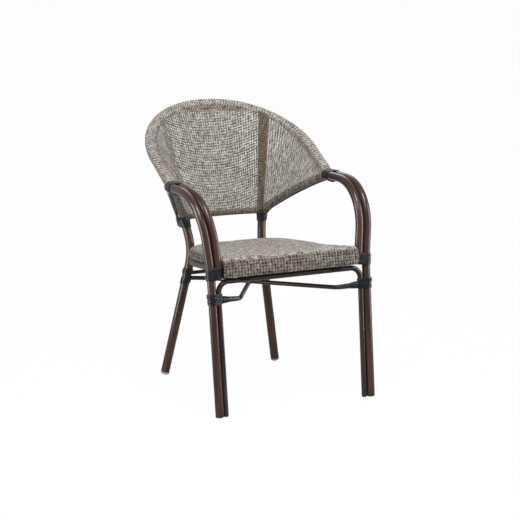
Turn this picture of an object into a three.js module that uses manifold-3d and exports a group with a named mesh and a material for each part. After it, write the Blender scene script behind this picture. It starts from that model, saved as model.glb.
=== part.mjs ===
// Rattan bistro armchair: a bent tube frame with a wrapped mesh tub back, a padded seat,
// an X brace under the seat and wound bindings over the joints.
// Millimetres, +Z up, the front of the chair looks along -Y, X is the mirror axis.

import * as THREE from 'three';
import * as BufferGeometryUtils from 'three/addons/utils/BufferGeometryUtils.js';
import Module from 'manifold-3d';

const wasm = await Module();
wasm.setup();

// Clearances
const clearance = 0.3;                 // between touching pieces
const tubePairGap = 0.4;               // between the two tubes of an arm
const overrun = 40;                    // how far a cutter runs past what it cuts
const weldTolerance = 0.0005;

// Tubes
const armTubeDiameter = 25;
const rearTubeDiameter = 27;           // legs, uprights and the back's hoop
const lowerTubeDiameter = 20;          // rail and wings, under the back's lower edge
const archTubeDiameter = 16;
const braceTubeDiameter = 14;
const stretcherTubeDiameter = 12;
const stayDiameter = 9;
const stayTurn = 10;                   // degrees round the wing, down from its outer side

// Levels, each from the one before it, so that the chair keeps together
const frontBraceHeight = 337;
const archAboveBrace = 51;
const seatAboveArch = 12.7;
const armAboveSeat = 230.3;
const archRunHeight = frontBraceHeight + archAboveBrace;
const seatFrontBottom = archRunHeight + seatAboveArch;
const armHeight = seatFrontBottom + armAboveSeat;

// Front leg and arm, the outer tube of each pair, on the viewer's right
const frontFootHalfSpread = 250;
const frontKneeHalfSpread = 254.5;
const frontKneeSetback = 47;
const frontKneeAboveArch = 27;
const frontKneeHeight = archRunHeight + frontKneeAboveArch;
const armHalfSpread = 277;
const armCornerSetback = 71;
const armEndSetback = 283;
const frontKneeRadius = 420;
const armBendShare = 0.695;            // of the height from the knee to the arm
const armBendRadius = armBendShare * (armHeight - frontKneeHeight);
const innerArmEndAboveArch = 19;
const innerArmEndHeight = archRunHeight + innerArmEndAboveArch;

// Front arch, a thinner tube that stands beside both front legs
const archCornerRadius = 32;
const archFootSetback = 2;

// Rear leg and upright, one tube
const rearFootHalfSpread = 194.5;
const rearFootSetback = 511;
const rearKneeHalfSpread = 119;
const rearKneeSetback = 461;
const rearKneeAboveArch = 9;
const rearKneeHeight = archRunHeight + rearKneeAboveArch;
const rearKneeRadius = 190;

// Back: a tilted hoop above and a rail with two wings below
const rimEndHalfSpread = 262;
const rimEndBehindArm = 5;
const rimEndSetback = armEndSetback + rimEndBehindArm;
const rimEndBelowArm = 1;
const rimEndHeight = armHeight - rimEndBelowArm;
const rimHalfWidth = 267;
const rimDepth = 387;                  // from the hoop's ends to its top, along its plane
const rimCornerRadius = 255;
const rimTilt = 30.1;                  // degrees from level
const railBelowArm = 131;
const railHeight = armHeight - railBelowArm;
const railBow = 19;
const wingBulgeOut = 12;
const wingBulgeUp = 27;
const uprightOnRimShare = 0.633;       // of the half hoop, from its end to its top

// Fabric cover of the back
const fabricThickness = 1.5;
const coverSlack = 0.8;                // between the fabric and the tubes inside it
const coverStartShare = 0.004;         // of the wing, where its first station lies

// Bracing under the seat
const braceBendHalfSpread = 159;
const braceBendSetback = 52;
const braceBendDrop = 5;               // below the brace's front end
const braceBendHeight = frontBraceHeight - braceBendDrop;
const braceRearBendHalfSpread = 84;
const braceRearBendSetback = 442;
const braceRearDrop = 27;
const braceRearHeight = frontBraceHeight - braceRearDrop;
const braceBendRadius = 34;
const braceSocketDiameter = 21;
const braceSocketLength = 24;
const stretcherAboveBrace = 15;
const stretcherHeight = braceRearHeight + stretcherAboveBrace;

// Seat
const seatFrontHalfWidth = 224;
const seatSideHalfWidth = 190;
const seatEarDepth = 30;
const seatFrontSetback = 20;
const seatRearBeforeKnee = 5;
const seatRearSetback = rearKneeSetback - seatRearBeforeKnee;
const seatSideSetback = 78;
const seatShoulderHalfWidth = 195;     // the curve's pull at the rear corners, sideways
const seatShoulderSetback = 435;       // and to the rear
const seatRearHalfWidth = 160;
const seatSlope = 5;                   // degrees, down towards the back
const cushionThickness = 35;
const cushionCrown = 7;
const cushionEdgeRadius = 12;
const skirtThickness = 13;
const skirtEdgeRadius = 4;
const baseThickness = 19;
const baseInset = 5;
const baseEdgeShare = 0.47;            // edge radius as a share of the base's thickness
const boardThickness = 9;
const boardInset = 24;
const saddleLength = 30;
const saddleFrontHalfSpread = 150;
const saddleRearHalfSpread = 66;
const seatRailDiameter = 16;
const seatRailSetback = 425;
const seatRailCornerHalfSpread = 100;
const seatRailBendRadius = 30;
const saddleSeat = 3;                  // saddle left between a tube and the seat base
const saddleHalfWidth = 10;

// Feet
const glideHeight = 7;
const rearGlideHeight = 10;
const glideStemLength = 18;
const glideStemShare = 0.72;           // stem diameter as a share of its tube
const glideEdgeShare = 0.78;           // foot diameter as a share of its tube

// Wound bindings, a flat strip laid in a helix
const stripThickness = 1.7;
const stripGap = 0.6;                  // between one turn and the next
const armStripWidth = 4.6;
const legStripWidth = 7.2;
const braceStripWidth = 5.2;
const armBindingBeforeArmEnd = 24;
const armBindingPastArmEnd = 6;
const armBindingStart = armEndSetback - armBindingBeforeArmEnd;
const armBindingEnd = armEndSetback + armBindingPastArmEnd;
const uprightBindingHeight = 24;
const uprightBindingFlare = 6;
const seatBindingBelowInnerArm = 19;   // from the inner tube's end down, and up
const seatBindingAboveInnerArm = 31;
const seatBindingBottom = innerArmEndHeight - seatBindingBelowInnerArm;
const seatBindingTop = innerArmEndHeight + seatBindingAboveInnerArm;
const braceBindingTurns = 1;
const rearBindingTurnsAbove = 1;
const rearBindingTurnsBelow = 1;

// Facets
const tubeSides = 12;
const thinTubeSides = 10;
const bendStep = THREE.MathUtils.degToRad(14);
const windingSteps = 12;
const coverWingStations = 8;
const coverRailStations = 4;
const coverPanelSteps = 3;
const coverArcSteps = 6;
const seatFacet = 34;
const skirtSegments = 3;
const roundingShares = [0, 0.5, 1];    // of a quarter turn round a pad's edge
const crownShares = [0.8, 0.5, 0.2];   // of the way out from the pad's middle
const levelSearchSteps = 40;

// Colours as seen in daylight
const brown = 0x3b2620;
const darkBrown = 0x2a1d19;
const bindingBlack = 0x23252b;
const fabricGrey = 0xa59e95;
const seatFabric = 0x8f857a;
const taupe = 0x8b7f7a;
const boardWood = 0xb08d62;
const paleGlide = 0xb9b7b2;
const darkGlide = 0x1c1a1a;

const X = new THREE.Vector3(1, 0, 0);
const Y = new THREE.Vector3(0, 1, 0);
const Z = new THREE.Vector3(0, 0, 1);

// Solids and booleans

function toSolid(geometry) {
  const bare = geometry.clone();
  bare.deleteAttribute('normal');
  bare.deleteAttribute('uv');
  const welded = BufferGeometryUtils.mergeVertices(bare, weldTolerance);
  const vertProperties = new Float32Array(welded.attributes.position.array);
  const triVerts = new Uint32Array(welded.index.array);
  return new wasm.Manifold(new wasm.Mesh({ numProp: 3, vertProperties, triVerts }));
}

function toGeometry(solid) {
  const mesh = solid.getMesh();
  const geometry = new THREE.BufferGeometry();
  geometry.setAttribute('position', new THREE.BufferAttribute(mesh.vertProperties, mesh.numProp));
  geometry.setIndex(new THREE.BufferAttribute(mesh.triVerts, 1));
  return geometry;
}

function cut(geometry, ...cutters) {
  const cutSolid = cutters.reduce((solid, cutter) => solid.subtract(toSolid(cutter)), toSolid(geometry));
  return toGeometry(cutSolid);
}

function join(geometry, ...others) {
  return toGeometry(others.reduce((solid, other) => solid.add(toSolid(other)), toSolid(geometry)));
}

function mirrored(geometry) {
  const copy = BufferGeometryUtils.mergeVertices(bareCopy(geometry), weldTolerance);
  copy.scale(-1, 1, 1);
  const index = copy.index.array;
  for (let i = 0; i < index.length; i += 3) {
    [index[i], index[i + 1]] = [index[i + 1], index[i]];
  }
  return copy;
}

function bareCopy(geometry) {
  const copy = geometry.clone();
  copy.deleteAttribute('normal');
  copy.deleteAttribute('uv');
  return copy;
}

// A box between two corners
function boxBetween(low, high) {
  const size = high.clone().sub(low);
  const centre = high.clone().add(low).multiplyScalar(0.5);
  return new THREE.BoxGeometry(size.x, size.y, size.z).translate(centre.x, centre.y, centre.z);
}

// Paths: a tube's centreline is straight runs joined by arcs, as a bender makes it

class Arc3 extends THREE.Curve {
  constructor(centre, start, end) {
    super();
    this.centre = centre;
    this.first = start.clone().sub(centre);
    this.angle = this.first.angleTo(end.clone().sub(centre));
    this.axis = this.first.clone().cross(end.clone().sub(centre)).normalize();
  }

  getPoint(t, target = new THREE.Vector3()) {
    return target.copy(this.first).applyAxisAngle(this.axis, t * this.angle).add(this.centre);
  }

  getTangent(t, target = new THREE.Vector3()) {
    const spoke = this.first.clone().applyAxisAngle(this.axis, t * this.angle);
    return target.copy(this.axis).cross(spoke).normalize();
  }
}

function bentLine(corners, radii) {
  const path = new THREE.CurvePath();
  let from = corners[0];
  for (let i = 1; i < corners.length - 1; i += 1) {
    const corner = corners[i];
    const back = corners[i - 1].clone().sub(corner).normalize();
    const on = corners[i + 1].clone().sub(corner).normalize();
    const half = back.angleTo(on) / 2;
    const run = radii[i - 1] / Math.tan(half);
    const start = corner.clone().addScaledVector(back, run);
    const end = corner.clone().addScaledVector(on, run);
    const bisector = back.clone().add(on).normalize();
    const centre = corner.clone().addScaledVector(bisector, radii[i - 1] / Math.sin(half));
    path.add(new THREE.LineCurve3(from, start));
    path.add(new Arc3(centre, start, end));
    from = end;
  }
  path.add(new THREE.LineCurve3(from, corners[corners.length - 1]));
  return path;
}

// A path known at its stations only, so that facets fall where the shape bends
class StationPath extends THREE.Curve {
  constructor(points, tangents) {
    super();
    this.points = points;
    this.tangents = tangents;
  }

  between(list, t) {
    const place = t * (list.length - 1);
    const index = Math.min(Math.floor(place), list.length - 2);
    return list[index].clone().lerp(list[index + 1], place - index);
  }

  getPoint(t) {
    return this.between(this.points, t);
  }

  getPointAt(u) {
    return this.between(this.points, u);
  }

  getTangent(t) {
    return this.between(this.tangents, t).normalize();
  }

  getTangentAt(u) {
    return this.between(this.tangents, u).normalize();
  }
}

function stationsOnBends(path) {
  const points = [];
  const tangents = [];
  path.curves.forEach((curve, order) => {
    const steps = curve instanceof Arc3 ? Math.max(2, Math.round(curve.angle / bendStep)) : 1;
    for (let i = order === 0 ? 0 : 1; i <= steps; i += 1) {
      points.push(curve.getPoint(i / steps));
      tangents.push(curve.getTangent(i / steps));
    }
  });
  return new StationPath(points, tangents);
}

function stationsFromPoints(points) {
  const tangents = points.map((point, i) => {
    const before = points[Math.max(i - 1, 0)];
    const after = points[Math.min(i + 1, points.length - 1)];
    return after.clone().sub(before).normalize();
  });
  return new StationPath(points, tangents);
}

function tubeAlong(stations, diameter, sides = tubeSides) {
  const section = new THREE.Shape();
  section.absarc(0, 0, diameter / 2, 0, 2 * Math.PI);
  return new THREE.ExtrudeGeometry(section, {
    extrudePath: stations,
    steps: stations.points.length - 1,
    curveSegments: sides / 2,
  });
}

// The room a tube takes up, for coping another tube against it
function roomAlong(stations, diameter, sides = tubeSides) {
  const flatToCorner = 1 / Math.cos(Math.PI / (2 * sides));
  return tubeAlong(stations, (diameter + 2 * clearance) * flatToCorner, 2 * sides);
}

function straightStations(from, to) {
  return stationsFromPoints([from, to]);
}

function pointAtHeight(from, to, height) {
  return from.clone().lerp(to, (height - from.z) / (to.z - from.z));
}

function mirrorPoint(point) {
  return new THREE.Vector3(-point.x, point.y, point.z);
}

// Frame lines, all on the +X side

const armPairPitch = armTubeDiameter + tubePairGap;
const armEndHalfSpread = rimEndHalfSpread + armPairPitch / 2;
const frontFoot = new THREE.Vector3(frontFootHalfSpread, 0, 0);
const frontKnee = new THREE.Vector3(frontKneeHalfSpread, frontKneeSetback, frontKneeHeight);
const armCorner = new THREE.Vector3(armHalfSpread, armCornerSetback, armHeight);
const armEnd = new THREE.Vector3(armEndHalfSpread, armEndSetback + overrun, armHeight);
const outerArmLine = bentLine([frontFoot, frontKnee, armCorner, armEnd], [frontKneeRadius, armBendRadius]);

const rearFoot = new THREE.Vector3(rearFootHalfSpread, rearFootSetback, 0);
const rearKnee = new THREE.Vector3(rearKneeHalfSpread, rearKneeSetback, rearKneeHeight);

const rimPlaneUp = Y.clone().applyAxisAngle(X, THREE.MathUtils.degToRad(rimTilt));
const rimEnd = new THREE.Vector3(rimEndHalfSpread, rimEndSetback, rimEndHeight);
const rimBase = new THREE.Vector3(0, rimEndSetback, rimEndHeight);
const rimCorner = rimBase.clone().addScaledVector(rimPlaneUp, rimDepth);
rimCorner.x = rimHalfWidth;
const rimCorners = [rimEnd, rimCorner, mirrorPoint(rimCorner), mirrorPoint(rimEnd)];
const rimLine = bentLine(rimCorners, [rimCornerRadius, rimCornerRadius]);

function onRim(halfShare) {
  return rimLine.getPointAt(halfShare / 2);
}

const uprightTop = onRim(uprightOnRimShare);
const uprightFoot = pointAtHeight(rearKnee, uprightTop, railHeight);
const railApex = new THREE.Vector3(0, uprightFoot.y + 2 * railBow, railHeight);
const railLine = new THREE.QuadraticBezierCurve3(uprightFoot, railApex, mirrorPoint(uprightFoot));
const wingMiddle = uprightFoot.clone().add(rimEnd).multiplyScalar(0.5);
const wingApex = wingMiddle.add(new THREE.Vector3(wingBulgeOut, 0, wingBulgeUp));
const wingLine = new THREE.QuadraticBezierCurve3(rimEnd, wingApex, uprightFoot);

// Stations shared by the hoop, the lower tubes and the cover, from the right end to the left
const wingShares = Array.from({ length: coverWingStations }, (_, i) => (
  coverStartShare + ((1 - coverStartShare) * i) / (coverWingStations - 1)
));
wingShares.unshift(0);
const railShares = Array.from({ length: coverRailStations + 1 }, (_, i) => i / coverRailStations);
const rimWingPoints = wingShares.map((share) => onRim(share * uprightOnRimShare));
const rimTopPoints = railShares.map((share) => onRim(uprightOnRimShare + share * (1 - uprightOnRimShare)));
const wingPoints = wingShares.map((share) => wingLine.getPointAt(share));
const railHalfPoints = railShares.map((share) => railLine.getPointAt(share / 2));

function bothHalves(points) {
  return [...points, ...points.slice(0, -1).reverse().map(mirrorPoint)];
}

const rimPoints = bothHalves([...rimWingPoints, ...rimTopPoints.slice(1)]);
const lowerPoints = bothHalves([...wingPoints, ...railHalfPoints.slice(1)]);
const rimStations = stationsFromPoints(rimPoints);
const lowerStations = stationsFromPoints(lowerPoints);

// Cutters that several pieces share

const pastArmEnd = boxBetween(
  new THREE.Vector3(-armHalfSpread - overrun, armEndSetback, armHeight - overrun),
  new THREE.Vector3(armHalfSpread + overrun, armEndSetback + 2 * overrun, armHeight + overrun),
);
const beforeRimEnd = boxBetween(
  new THREE.Vector3(-armHalfSpread - overrun, armEndSetback - overrun, armHeight - 2 * overrun),
  new THREE.Vector3(armHalfSpread + overrun, armEndSetback + clearance, armHeight + overrun),
);
const besideArmBinding = (gap) => boxBetween(
  new THREE.Vector3(-armHalfSpread - overrun, armBindingStart - overrun, armHeight - 2 * overrun),
  new THREE.Vector3(armHalfSpread + overrun, armBindingEnd + gap, armHeight + 2 * overrun),
);
const underFloor = boxBetween(
  new THREE.Vector3(-armHalfSpread - overrun, -overrun, -overrun),
  new THREE.Vector3(armHalfSpread + overrun, rearFootSetback + overrun, 0),
);

// A leg's socket for its glide, square to the leg

function legFrame(foot, next) {
  const axis = next.clone().sub(foot).normalize();
  return { foot, axis, turn: new THREE.Quaternion().setFromUnitVectors(Z, axis) };
}

function onLeg(geometry, leg) {
  return geometry.applyQuaternion(leg.turn).translate(leg.foot.x, leg.foot.y, leg.foot.z);
}

function legBottomCutters(leg, diameter, height) {
  const belowLeg = new THREE.CylinderGeometry(diameter, diameter, 2 * overrun, tubeSides);
  belowLeg.rotateX(Math.PI / 2).translate(0, 0, height - overrun);
  const stemRoom = diameter * glideStemShare + 2 * clearance;
  const socket = new THREE.CylinderGeometry(stemRoom / 2, stemRoom / 2, glideStemLength + 2 * clearance, tubeSides);
  socket.rotateX(Math.PI / 2).translate(0, 0, height + glideStemLength / 2);
  return [onLeg(belowLeg, leg), onLeg(socket, leg)];
}

function glide(leg, diameter, height) {
  const radius = diameter / 2;
  const stemRadius = radius * glideStemShare;
  const stemTop = height + glideStemLength - clearance;
  const profile = [
    new THREE.Vector2(0, -height),
    new THREE.Vector2(radius * glideEdgeShare, -height),
    new THREE.Vector2(radius * glideEdgeShare, 0),
    new THREE.Vector2(radius, height / 2),
    new THREE.Vector2(radius, height - clearance),
    new THREE.Vector2(stemRadius, height - clearance),
    new THREE.Vector2(stemRadius, stemTop),
    new THREE.Vector2(0, stemTop),
  ];
  const body = new THREE.LatheGeometry(profile, tubeSides).rotateX(Math.PI / 2);
  return cut(onLeg(body, leg), underFloor);
}

// Tubes of the frame

const frontLeg = legFrame(frontFoot, frontKnee);
const outerArmStations = stationsOnBends(outerArmLine);
const outerArmTube = cut(
  tubeAlong(outerArmStations, armTubeDiameter),
  pastArmEnd,
  ...legBottomCutters(frontLeg, armTubeDiameter, glideHeight),
);

const belowInnerArm = boxBetween(
  new THREE.Vector3(0, -overrun, -overrun),
  new THREE.Vector3(armHalfSpread + overrun, armEndSetback, innerArmEndHeight),
);
const innerArmTube = cut(
  tubeAlong(outerArmStations, armTubeDiameter).translate(-armPairPitch, 0, 0),
  pastArmEnd,
  belowInnerArm,
);

const archOffset = (armTubeDiameter + archTubeDiameter) / 2 + clearance;
const archFoot = new THREE.Vector3(frontFootHalfSpread - archOffset, archFootSetback, 0);
const archTopOnLeg = pointAtHeight(frontFoot, frontKnee, archRunHeight);
const archCorner = new THREE.Vector3(archTopOnLeg.x - archOffset, archTopOnLeg.y, archRunHeight);
const archLeg = legFrame(archFoot, archCorner);
const archCorners = [archFoot, archCorner, mirrorPoint(archCorner), mirrorPoint(archFoot)];
const archLine = bentLine(archCorners, [archCornerRadius, archCornerRadius]);
const archStations = stationsOnBends(archLine);
const archFootCutters = legBottomCutters(archLeg, archTubeDiameter, glideHeight);
const archTube = cut(
  tubeAlong(archStations, archTubeDiameter, thinTubeSides),
  ...archFootCutters,
  ...archFootCutters.map(mirrored),
);

const rearLeg = legFrame(rearFoot, rearKnee);
const rearLine = bentLine([rearFoot, rearKnee, uprightTop], [rearKneeRadius]);
const rearStations = stationsOnBends(rearLine);
const rearRoom = roomAlong(rearStations, rearTubeDiameter);
const rimRoom = roomAlong(runOn(rimStations, rearTubeDiameter), rearTubeDiameter);
const rearTube = cut(
  tubeAlong(rearStations, rearTubeDiameter),
  rimRoom,
  ...legBottomCutters(rearLeg, rearTubeDiameter, rearGlideHeight),
);

// The hoop runs on past its first station and is then cut square behind the arm ends
function runOn(stations, length) {
  const last = stations.points.length - 1;
  const start = stations.points[0].clone().addScaledVector(stations.tangents[0], -length);
  const end = stations.points[last].clone().addScaledVector(stations.tangents[last], length);
  const points = [start, ...stations.points, end];
  return new StationPath(points, [stations.tangents[0], ...stations.tangents, stations.tangents[last]]);
}

const rimTube = cut(tubeAlong(runOn(rimStations, rearTubeDiameter / 2), rearTubeDiameter), beforeRimEnd);

const wingStations = stationsFromPoints(wingPoints);
const railStations = stationsFromPoints(railHalfPoints.concat(railHalfPoints.slice(0, -1).reverse().map(mirrorPoint)));
const railRoom = roomAlong(railStations, lowerTubeDiameter);
const wingTube = cut(
  tubeAlong(wingStations, lowerTubeDiameter), rimRoom, rearRoom, railRoom, besideArmBinding(clearance),
);
const railTube = cut(tubeAlong(railStations, lowerTubeDiameter), rearRoom, mirrored(rearRoom));

// Cover of the back, a bag of mesh fabric drawn over the hoop and the lower tubes

// From a tube's centreline to the corners of the cover's inner side
function coverReach(diameter) {
  return (diameter / 2 + coverSlack) / Math.cos(Math.PI / (2 * coverArcSteps));
}

const lowerCoverOuter = coverReach(lowerTubeDiameter) + fabricThickness;
const coverIndices = rimPoints.map((_, i) => i).slice(1, -1);

// Where the cover starts at the arms, its lower edge still lies round the hoop
function lowerDiameterAt(index) {
  const atArm = index === coverIndices[0] || index === coverIndices[coverIndices.length - 1];
  return atArm ? rearTubeDiameter : lowerTubeDiameter;
}

// How much wider a section at a corner is than one square to the path
function mitre(points, index) {
  const before = points[index].clone().sub(points[index - 1]);
  const after = points[index + 1].clone().sub(points[index]);
  return 1 / Math.cos(before.angleTo(after) / 2);
}

// The loop round the upper tube, down the outer side, round the lower tube and up the inner side
function coverLoop(index, extra) {
  const top = rimPoints[index];
  const bottom = lowerPoints[index];
  const ruling = top.clone().sub(bottom).normalize();
  const sideOf = (tangent, points, diameter) => {
    const along = ruling.clone().addScaledVector(tangent, -ruling.dot(tangent)).normalize();
    const radius = (coverReach(diameter) + extra) * mitre(points, index);
    return { along, inward: along.clone().cross(tangent).normalize(), radius };
  };
  const upper = sideOf(rimStations.tangents[index], rimPoints, rearTubeDiameter);
  const lower = sideOf(lowerStations.tangents[index], lowerPoints, lowerDiameterAt(index));
  const loop = [];
  const addArc = (centre, side, first) => {
    for (let i = 0; i <= coverArcSteps; i += 1) {
      const angle = first + (Math.PI * i) / coverArcSteps;
      const point = centre.clone().addScaledVector(side.inward, side.radius * Math.cos(angle));
      loop.push(point.addScaledVector(side.along, side.radius * Math.sin(angle)));
    }
  };
  const addPanel = (from, to) => {
    for (let i = 1; i < coverPanelSteps; i += 1) {
      loop.push(from.clone().lerp(to, i / coverPanelSteps));
    }
  };
  addArc(top, upper, 0);
  const edge = (centre, side, sign) => centre.clone().addScaledVector(side.inward, sign * side.radius);
  addPanel(edge(top, upper, -1), edge(bottom, lower, -1));
  addArc(bottom, lower, Math.PI);
  addPanel(edge(bottom, lower, 1), edge(top, upper, 1));
  return loop;
}

// A solid between an outer and an inner sleeve, each a list of loops with as many points
function sleeve(outerLoops, innerLoops) {
  const positions = [];
  const index = [];
  const count = outerLoops[0].length;
  const last = outerLoops.length - 1;
  [outerLoops, innerLoops].forEach((loops) => {
    loops.forEach((loop) => loop.forEach((point) => positions.push(point.x, point.y, point.z)));
  });
  const outerAt = (station, i) => station * count + (i % count);
  const innerAt = (station, i) => (outerLoops.length + station) * count + (i % count);
  const quad = (a, b, c, d) => index.push(a, b, c, a, c, d);
  for (let i = 0; i < count; i += 1) {
    for (let station = 0; station < last; station += 1) {
      quad(outerAt(station, i), outerAt(station, i + 1), outerAt(station + 1, i + 1), outerAt(station + 1, i));
      quad(innerAt(station, i), innerAt(station + 1, i), innerAt(station + 1, i + 1), innerAt(station, i + 1));
    }
    quad(outerAt(0, i), innerAt(0, i), innerAt(0, i + 1), outerAt(0, i + 1));
    quad(outerAt(last, i), outerAt(last, i + 1), innerAt(last, i + 1), innerAt(last, i));
  }
  const geometry = new THREE.BufferGeometry();
  geometry.setAttribute('position', new THREE.Float32BufferAttribute(positions, 3));
  geometry.setIndex(index);
  return geometry;
}

const coverBag = sleeve(
  coverIndices.map((i) => coverLoop(i, fabricThickness)),
  coverIndices.map((i) => coverLoop(i, 0)),
);

const backCover = cut(coverBag, rearRoom, mirrored(rearRoom), besideArmBinding(clearance));

// Dark stay along the outside of each wing, from the arm's binding to the upright's
function stayPoint(index) {
  const ruling = rimPoints[index].clone().sub(lowerPoints[index]).normalize();
  const tangent = lowerStations.tangents[index];
  const along = ruling.clone().addScaledVector(tangent, -ruling.dot(tangent)).normalize();
  const turn = THREE.MathUtils.degToRad(stayTurn);
  const out = tangent.clone().cross(along).normalize().multiplyScalar(Math.cos(turn));
  const reach = coverReach(lowerDiameterAt(index)) + fabricThickness;
  const offset = reach * mitre(lowerPoints, index) + 2 * clearance + stayDiameter / 2;
  return lowerPoints[index].clone().addScaledVector(out.addScaledVector(along, -Math.sin(turn)), offset);
}

const stayPoints = wingShares.map((_, i) => i).slice(1).map(stayPoint);
const stayRod = cut(
  tubeAlong(stationsFromPoints(stayPoints), stayDiameter, thinTubeSides), rearRoom, besideArmBinding(2 * clearance),
);

// Bracing: one tube runs through, the other meets it in two coped halves

const braceStart = pointAtHeight(archFoot, archCorner, frontBraceHeight);
const braceFrontBend = new THREE.Vector3(braceBendHalfSpread, braceBendSetback, braceBendHeight);
const braceRearBend = new THREE.Vector3(-braceRearBendHalfSpread, braceRearBendSetback, braceRearHeight);
const braceEnd = mirrorPoint(pointAtHeight(rearFoot, rearKnee, braceRearHeight));
const braceCorners = [braceStart, braceFrontBend, braceRearBend, braceEnd];
const braceStations = stationsOnBends(bentLine(braceCorners, [braceBendRadius, braceBendRadius]));
const archRoom = roomAlong(archStations, archTubeDiameter, thinTubeSides);
const fullBrace = cut(
  tubeAlong(braceStations, braceTubeDiameter, thinTubeSides),
  archRoom,
  mirrored(rearRoom),
);
const throughRoom = roomAlong(braceStations, braceTubeDiameter, thinTubeSides);
const braceHalves = toSolid(cut(mirrored(fullBrace), throughRoom)).decompose().map(toGeometry);
const setbackOf = (geometry) => {
  geometry.computeBoundingBox();
  return geometry.boundingBox.min.y;
};
braceHalves.sort((a, b) => setbackOf(a) - setbackOf(b));

// Wound collar over the front end of each brace tube
const socketAxis = braceFrontBend.clone().sub(braceStart).normalize();
const socketOffset = archTubeDiameter / 2 + stripThickness + 4 * clearance;
const socketStart = braceStart.clone().addScaledVector(socketAxis, socketOffset);
const socketRoom = braceTubeDiameter / 2 + 2 * clearance;
const socketProfile = [
  new THREE.Vector2(socketRoom, 0),
  new THREE.Vector2(braceSocketDiameter / 2, 0),
  new THREE.Vector2(braceSocketDiameter / 2, braceSocketLength / 3),
  new THREE.Vector2(socketRoom + stripThickness / 2, braceSocketLength),
  new THREE.Vector2(socketRoom, braceSocketLength),
  new THREE.Vector2(socketRoom, 0),
];
const braceSocket = new THREE.LatheGeometry(socketProfile, tubeSides).rotateX(Math.PI / 2);
braceSocket.applyQuaternion(new THREE.Quaternion().setFromUnitVectors(Z, socketAxis));
braceSocket.translate(socketStart.x, socketStart.y, socketStart.z);

function crossTube(height, diameter) {
  const end = pointAtHeight(rearFoot, rearKnee, height);
  const tube = tubeAlong(straightStations(mirrorPoint(end), end), diameter, thinTubeSides);
  return cut(tube, rearRoom, mirrored(rearRoom));
}

const stretcher = crossTube(stretcherHeight, stretcherTubeDiameter);

// Seat

const slope = THREE.MathUtils.degToRad(seatSlope);
const cushionBottom = baseThickness + clearance;

// Seat pieces are drawn level, with their underside at zero, and then laid on the sloping seat plane
function onSeat(geometry) {
  geometry.translate(0, -seatFrontSetback, 0).rotateX(-slope);
  return geometry.translate(0, seatFrontSetback, seatFrontBottom);
}

function seatHeightAt(setback) {
  return seatFrontBottom - (setback - seatFrontSetback) * Math.tan(slope);
}

const seatOutline = new THREE.Shape();
seatOutline.moveTo(-seatFrontHalfWidth, seatFrontSetback);
seatOutline.lineTo(seatFrontHalfWidth, seatFrontSetback);
seatOutline.lineTo(seatFrontHalfWidth, seatFrontSetback + seatEarDepth);
seatOutline.quadraticCurveTo(seatSideHalfWidth, seatSideSetback, seatSideHalfWidth, 2 * seatSideSetback);
seatOutline.bezierCurveTo(
  seatShoulderHalfWidth, seatShoulderSetback, seatRearHalfWidth, seatRearSetback, 0, seatRearSetback,
);
seatOutline.bezierCurveTo(
  -seatRearHalfWidth, seatRearSetback, -seatShoulderHalfWidth, seatShoulderSetback,
  -seatSideHalfWidth, 2 * seatSideSetback,
);
seatOutline.quadraticCurveTo(
  -seatSideHalfWidth, seatSideSetback, -seatFrontHalfWidth, seatFrontSetback + seatEarDepth,
);
seatOutline.closePath();

const seatEdge = seatOutline.curves.flatMap((curve) => {
  const steps = Math.max(1, Math.round(curve.getLength() / seatFacet));
  return curve.getSpacedPoints(steps).slice(0, -1);
});
const seatMiddle = new THREE.Vector2(0, (seatFrontSetback + seatRearSetback) / 2);

function insetEdge(inset) {
  return seatEdge.map((point) => {
    const spoke = point.clone().sub(seatMiddle);
    return spoke.multiplyScalar(1 - inset / spoke.length()).add(seatMiddle);
  });
}

// A closed solid skinned over level rings, each a list of points with a height
function ringSolid(rings) {
  const count = rings[0].edge.length;
  const positions = rings.flatMap((ring) => ring.edge.flatMap((point) => [point.x, point.y, ring.height]));
  const low = positions.length / 3;
  positions.push(seatMiddle.x, seatMiddle.y, rings[0].height);
  positions.push(seatMiddle.x, seatMiddle.y, rings[rings.length - 1].peak);
  const index = [];
  for (let i = 0; i < count; i += 1) {
    const next = (i + 1) % count;
    for (let ring = 0; ring < rings.length - 1; ring += 1) {
      const lower = ring * count;
      const upper = lower + count;
      index.push(lower + i, lower + next, upper + next, lower + i, upper + next, upper + i);
    }
    const topRing = (rings.length - 1) * count;
    index.push(low, next, i, low + 1, topRing + i, topRing + next);
  }
  const geometry = new THREE.BufferGeometry();
  geometry.setAttribute('position', new THREE.Float32BufferAttribute(positions, 3));
  geometry.setIndex(index);
  return geometry;
}

// A pad with rounded edges and a crown
function pad(inset, bottom, thickness, edgeRadius, crown) {
  const top = bottom + thickness;
  const rings = [
    ...roundingShares.map((share) => ({
      edge: insetEdge(inset + edgeRadius * (1 - Math.sin(share * Math.PI / 2))),
      height: bottom + edgeRadius * (1 - Math.cos(share * Math.PI / 2)),
    })),
    ...roundingShares.map((share) => ({
      edge: insetEdge(inset + edgeRadius * (1 - Math.cos(share * Math.PI / 2))),
      height: top - edgeRadius * (1 - Math.sin(share * Math.PI / 2)),
    })),
  ];
  const rim = rings[rings.length - 1].edge;
  if (crown > 0) {
    crownShares.forEach((share) => rings.push({
      edge: rim.map((point) => point.clone().sub(seatMiddle).multiplyScalar(share).add(seatMiddle)),
      height: top + crown * (1 - share ** 2),
    }));
  }
  rings[rings.length - 1].peak = top + crown;
  return ringSolid(rings);
}

function plate(inset, bottom, thickness) {
  const shape = new THREE.Shape(insetEdge(inset));
  return new THREE.ExtrudeGeometry(shape, { depth: thickness, bevelEnabled: false }).translate(0, 0, bottom);
}

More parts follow.
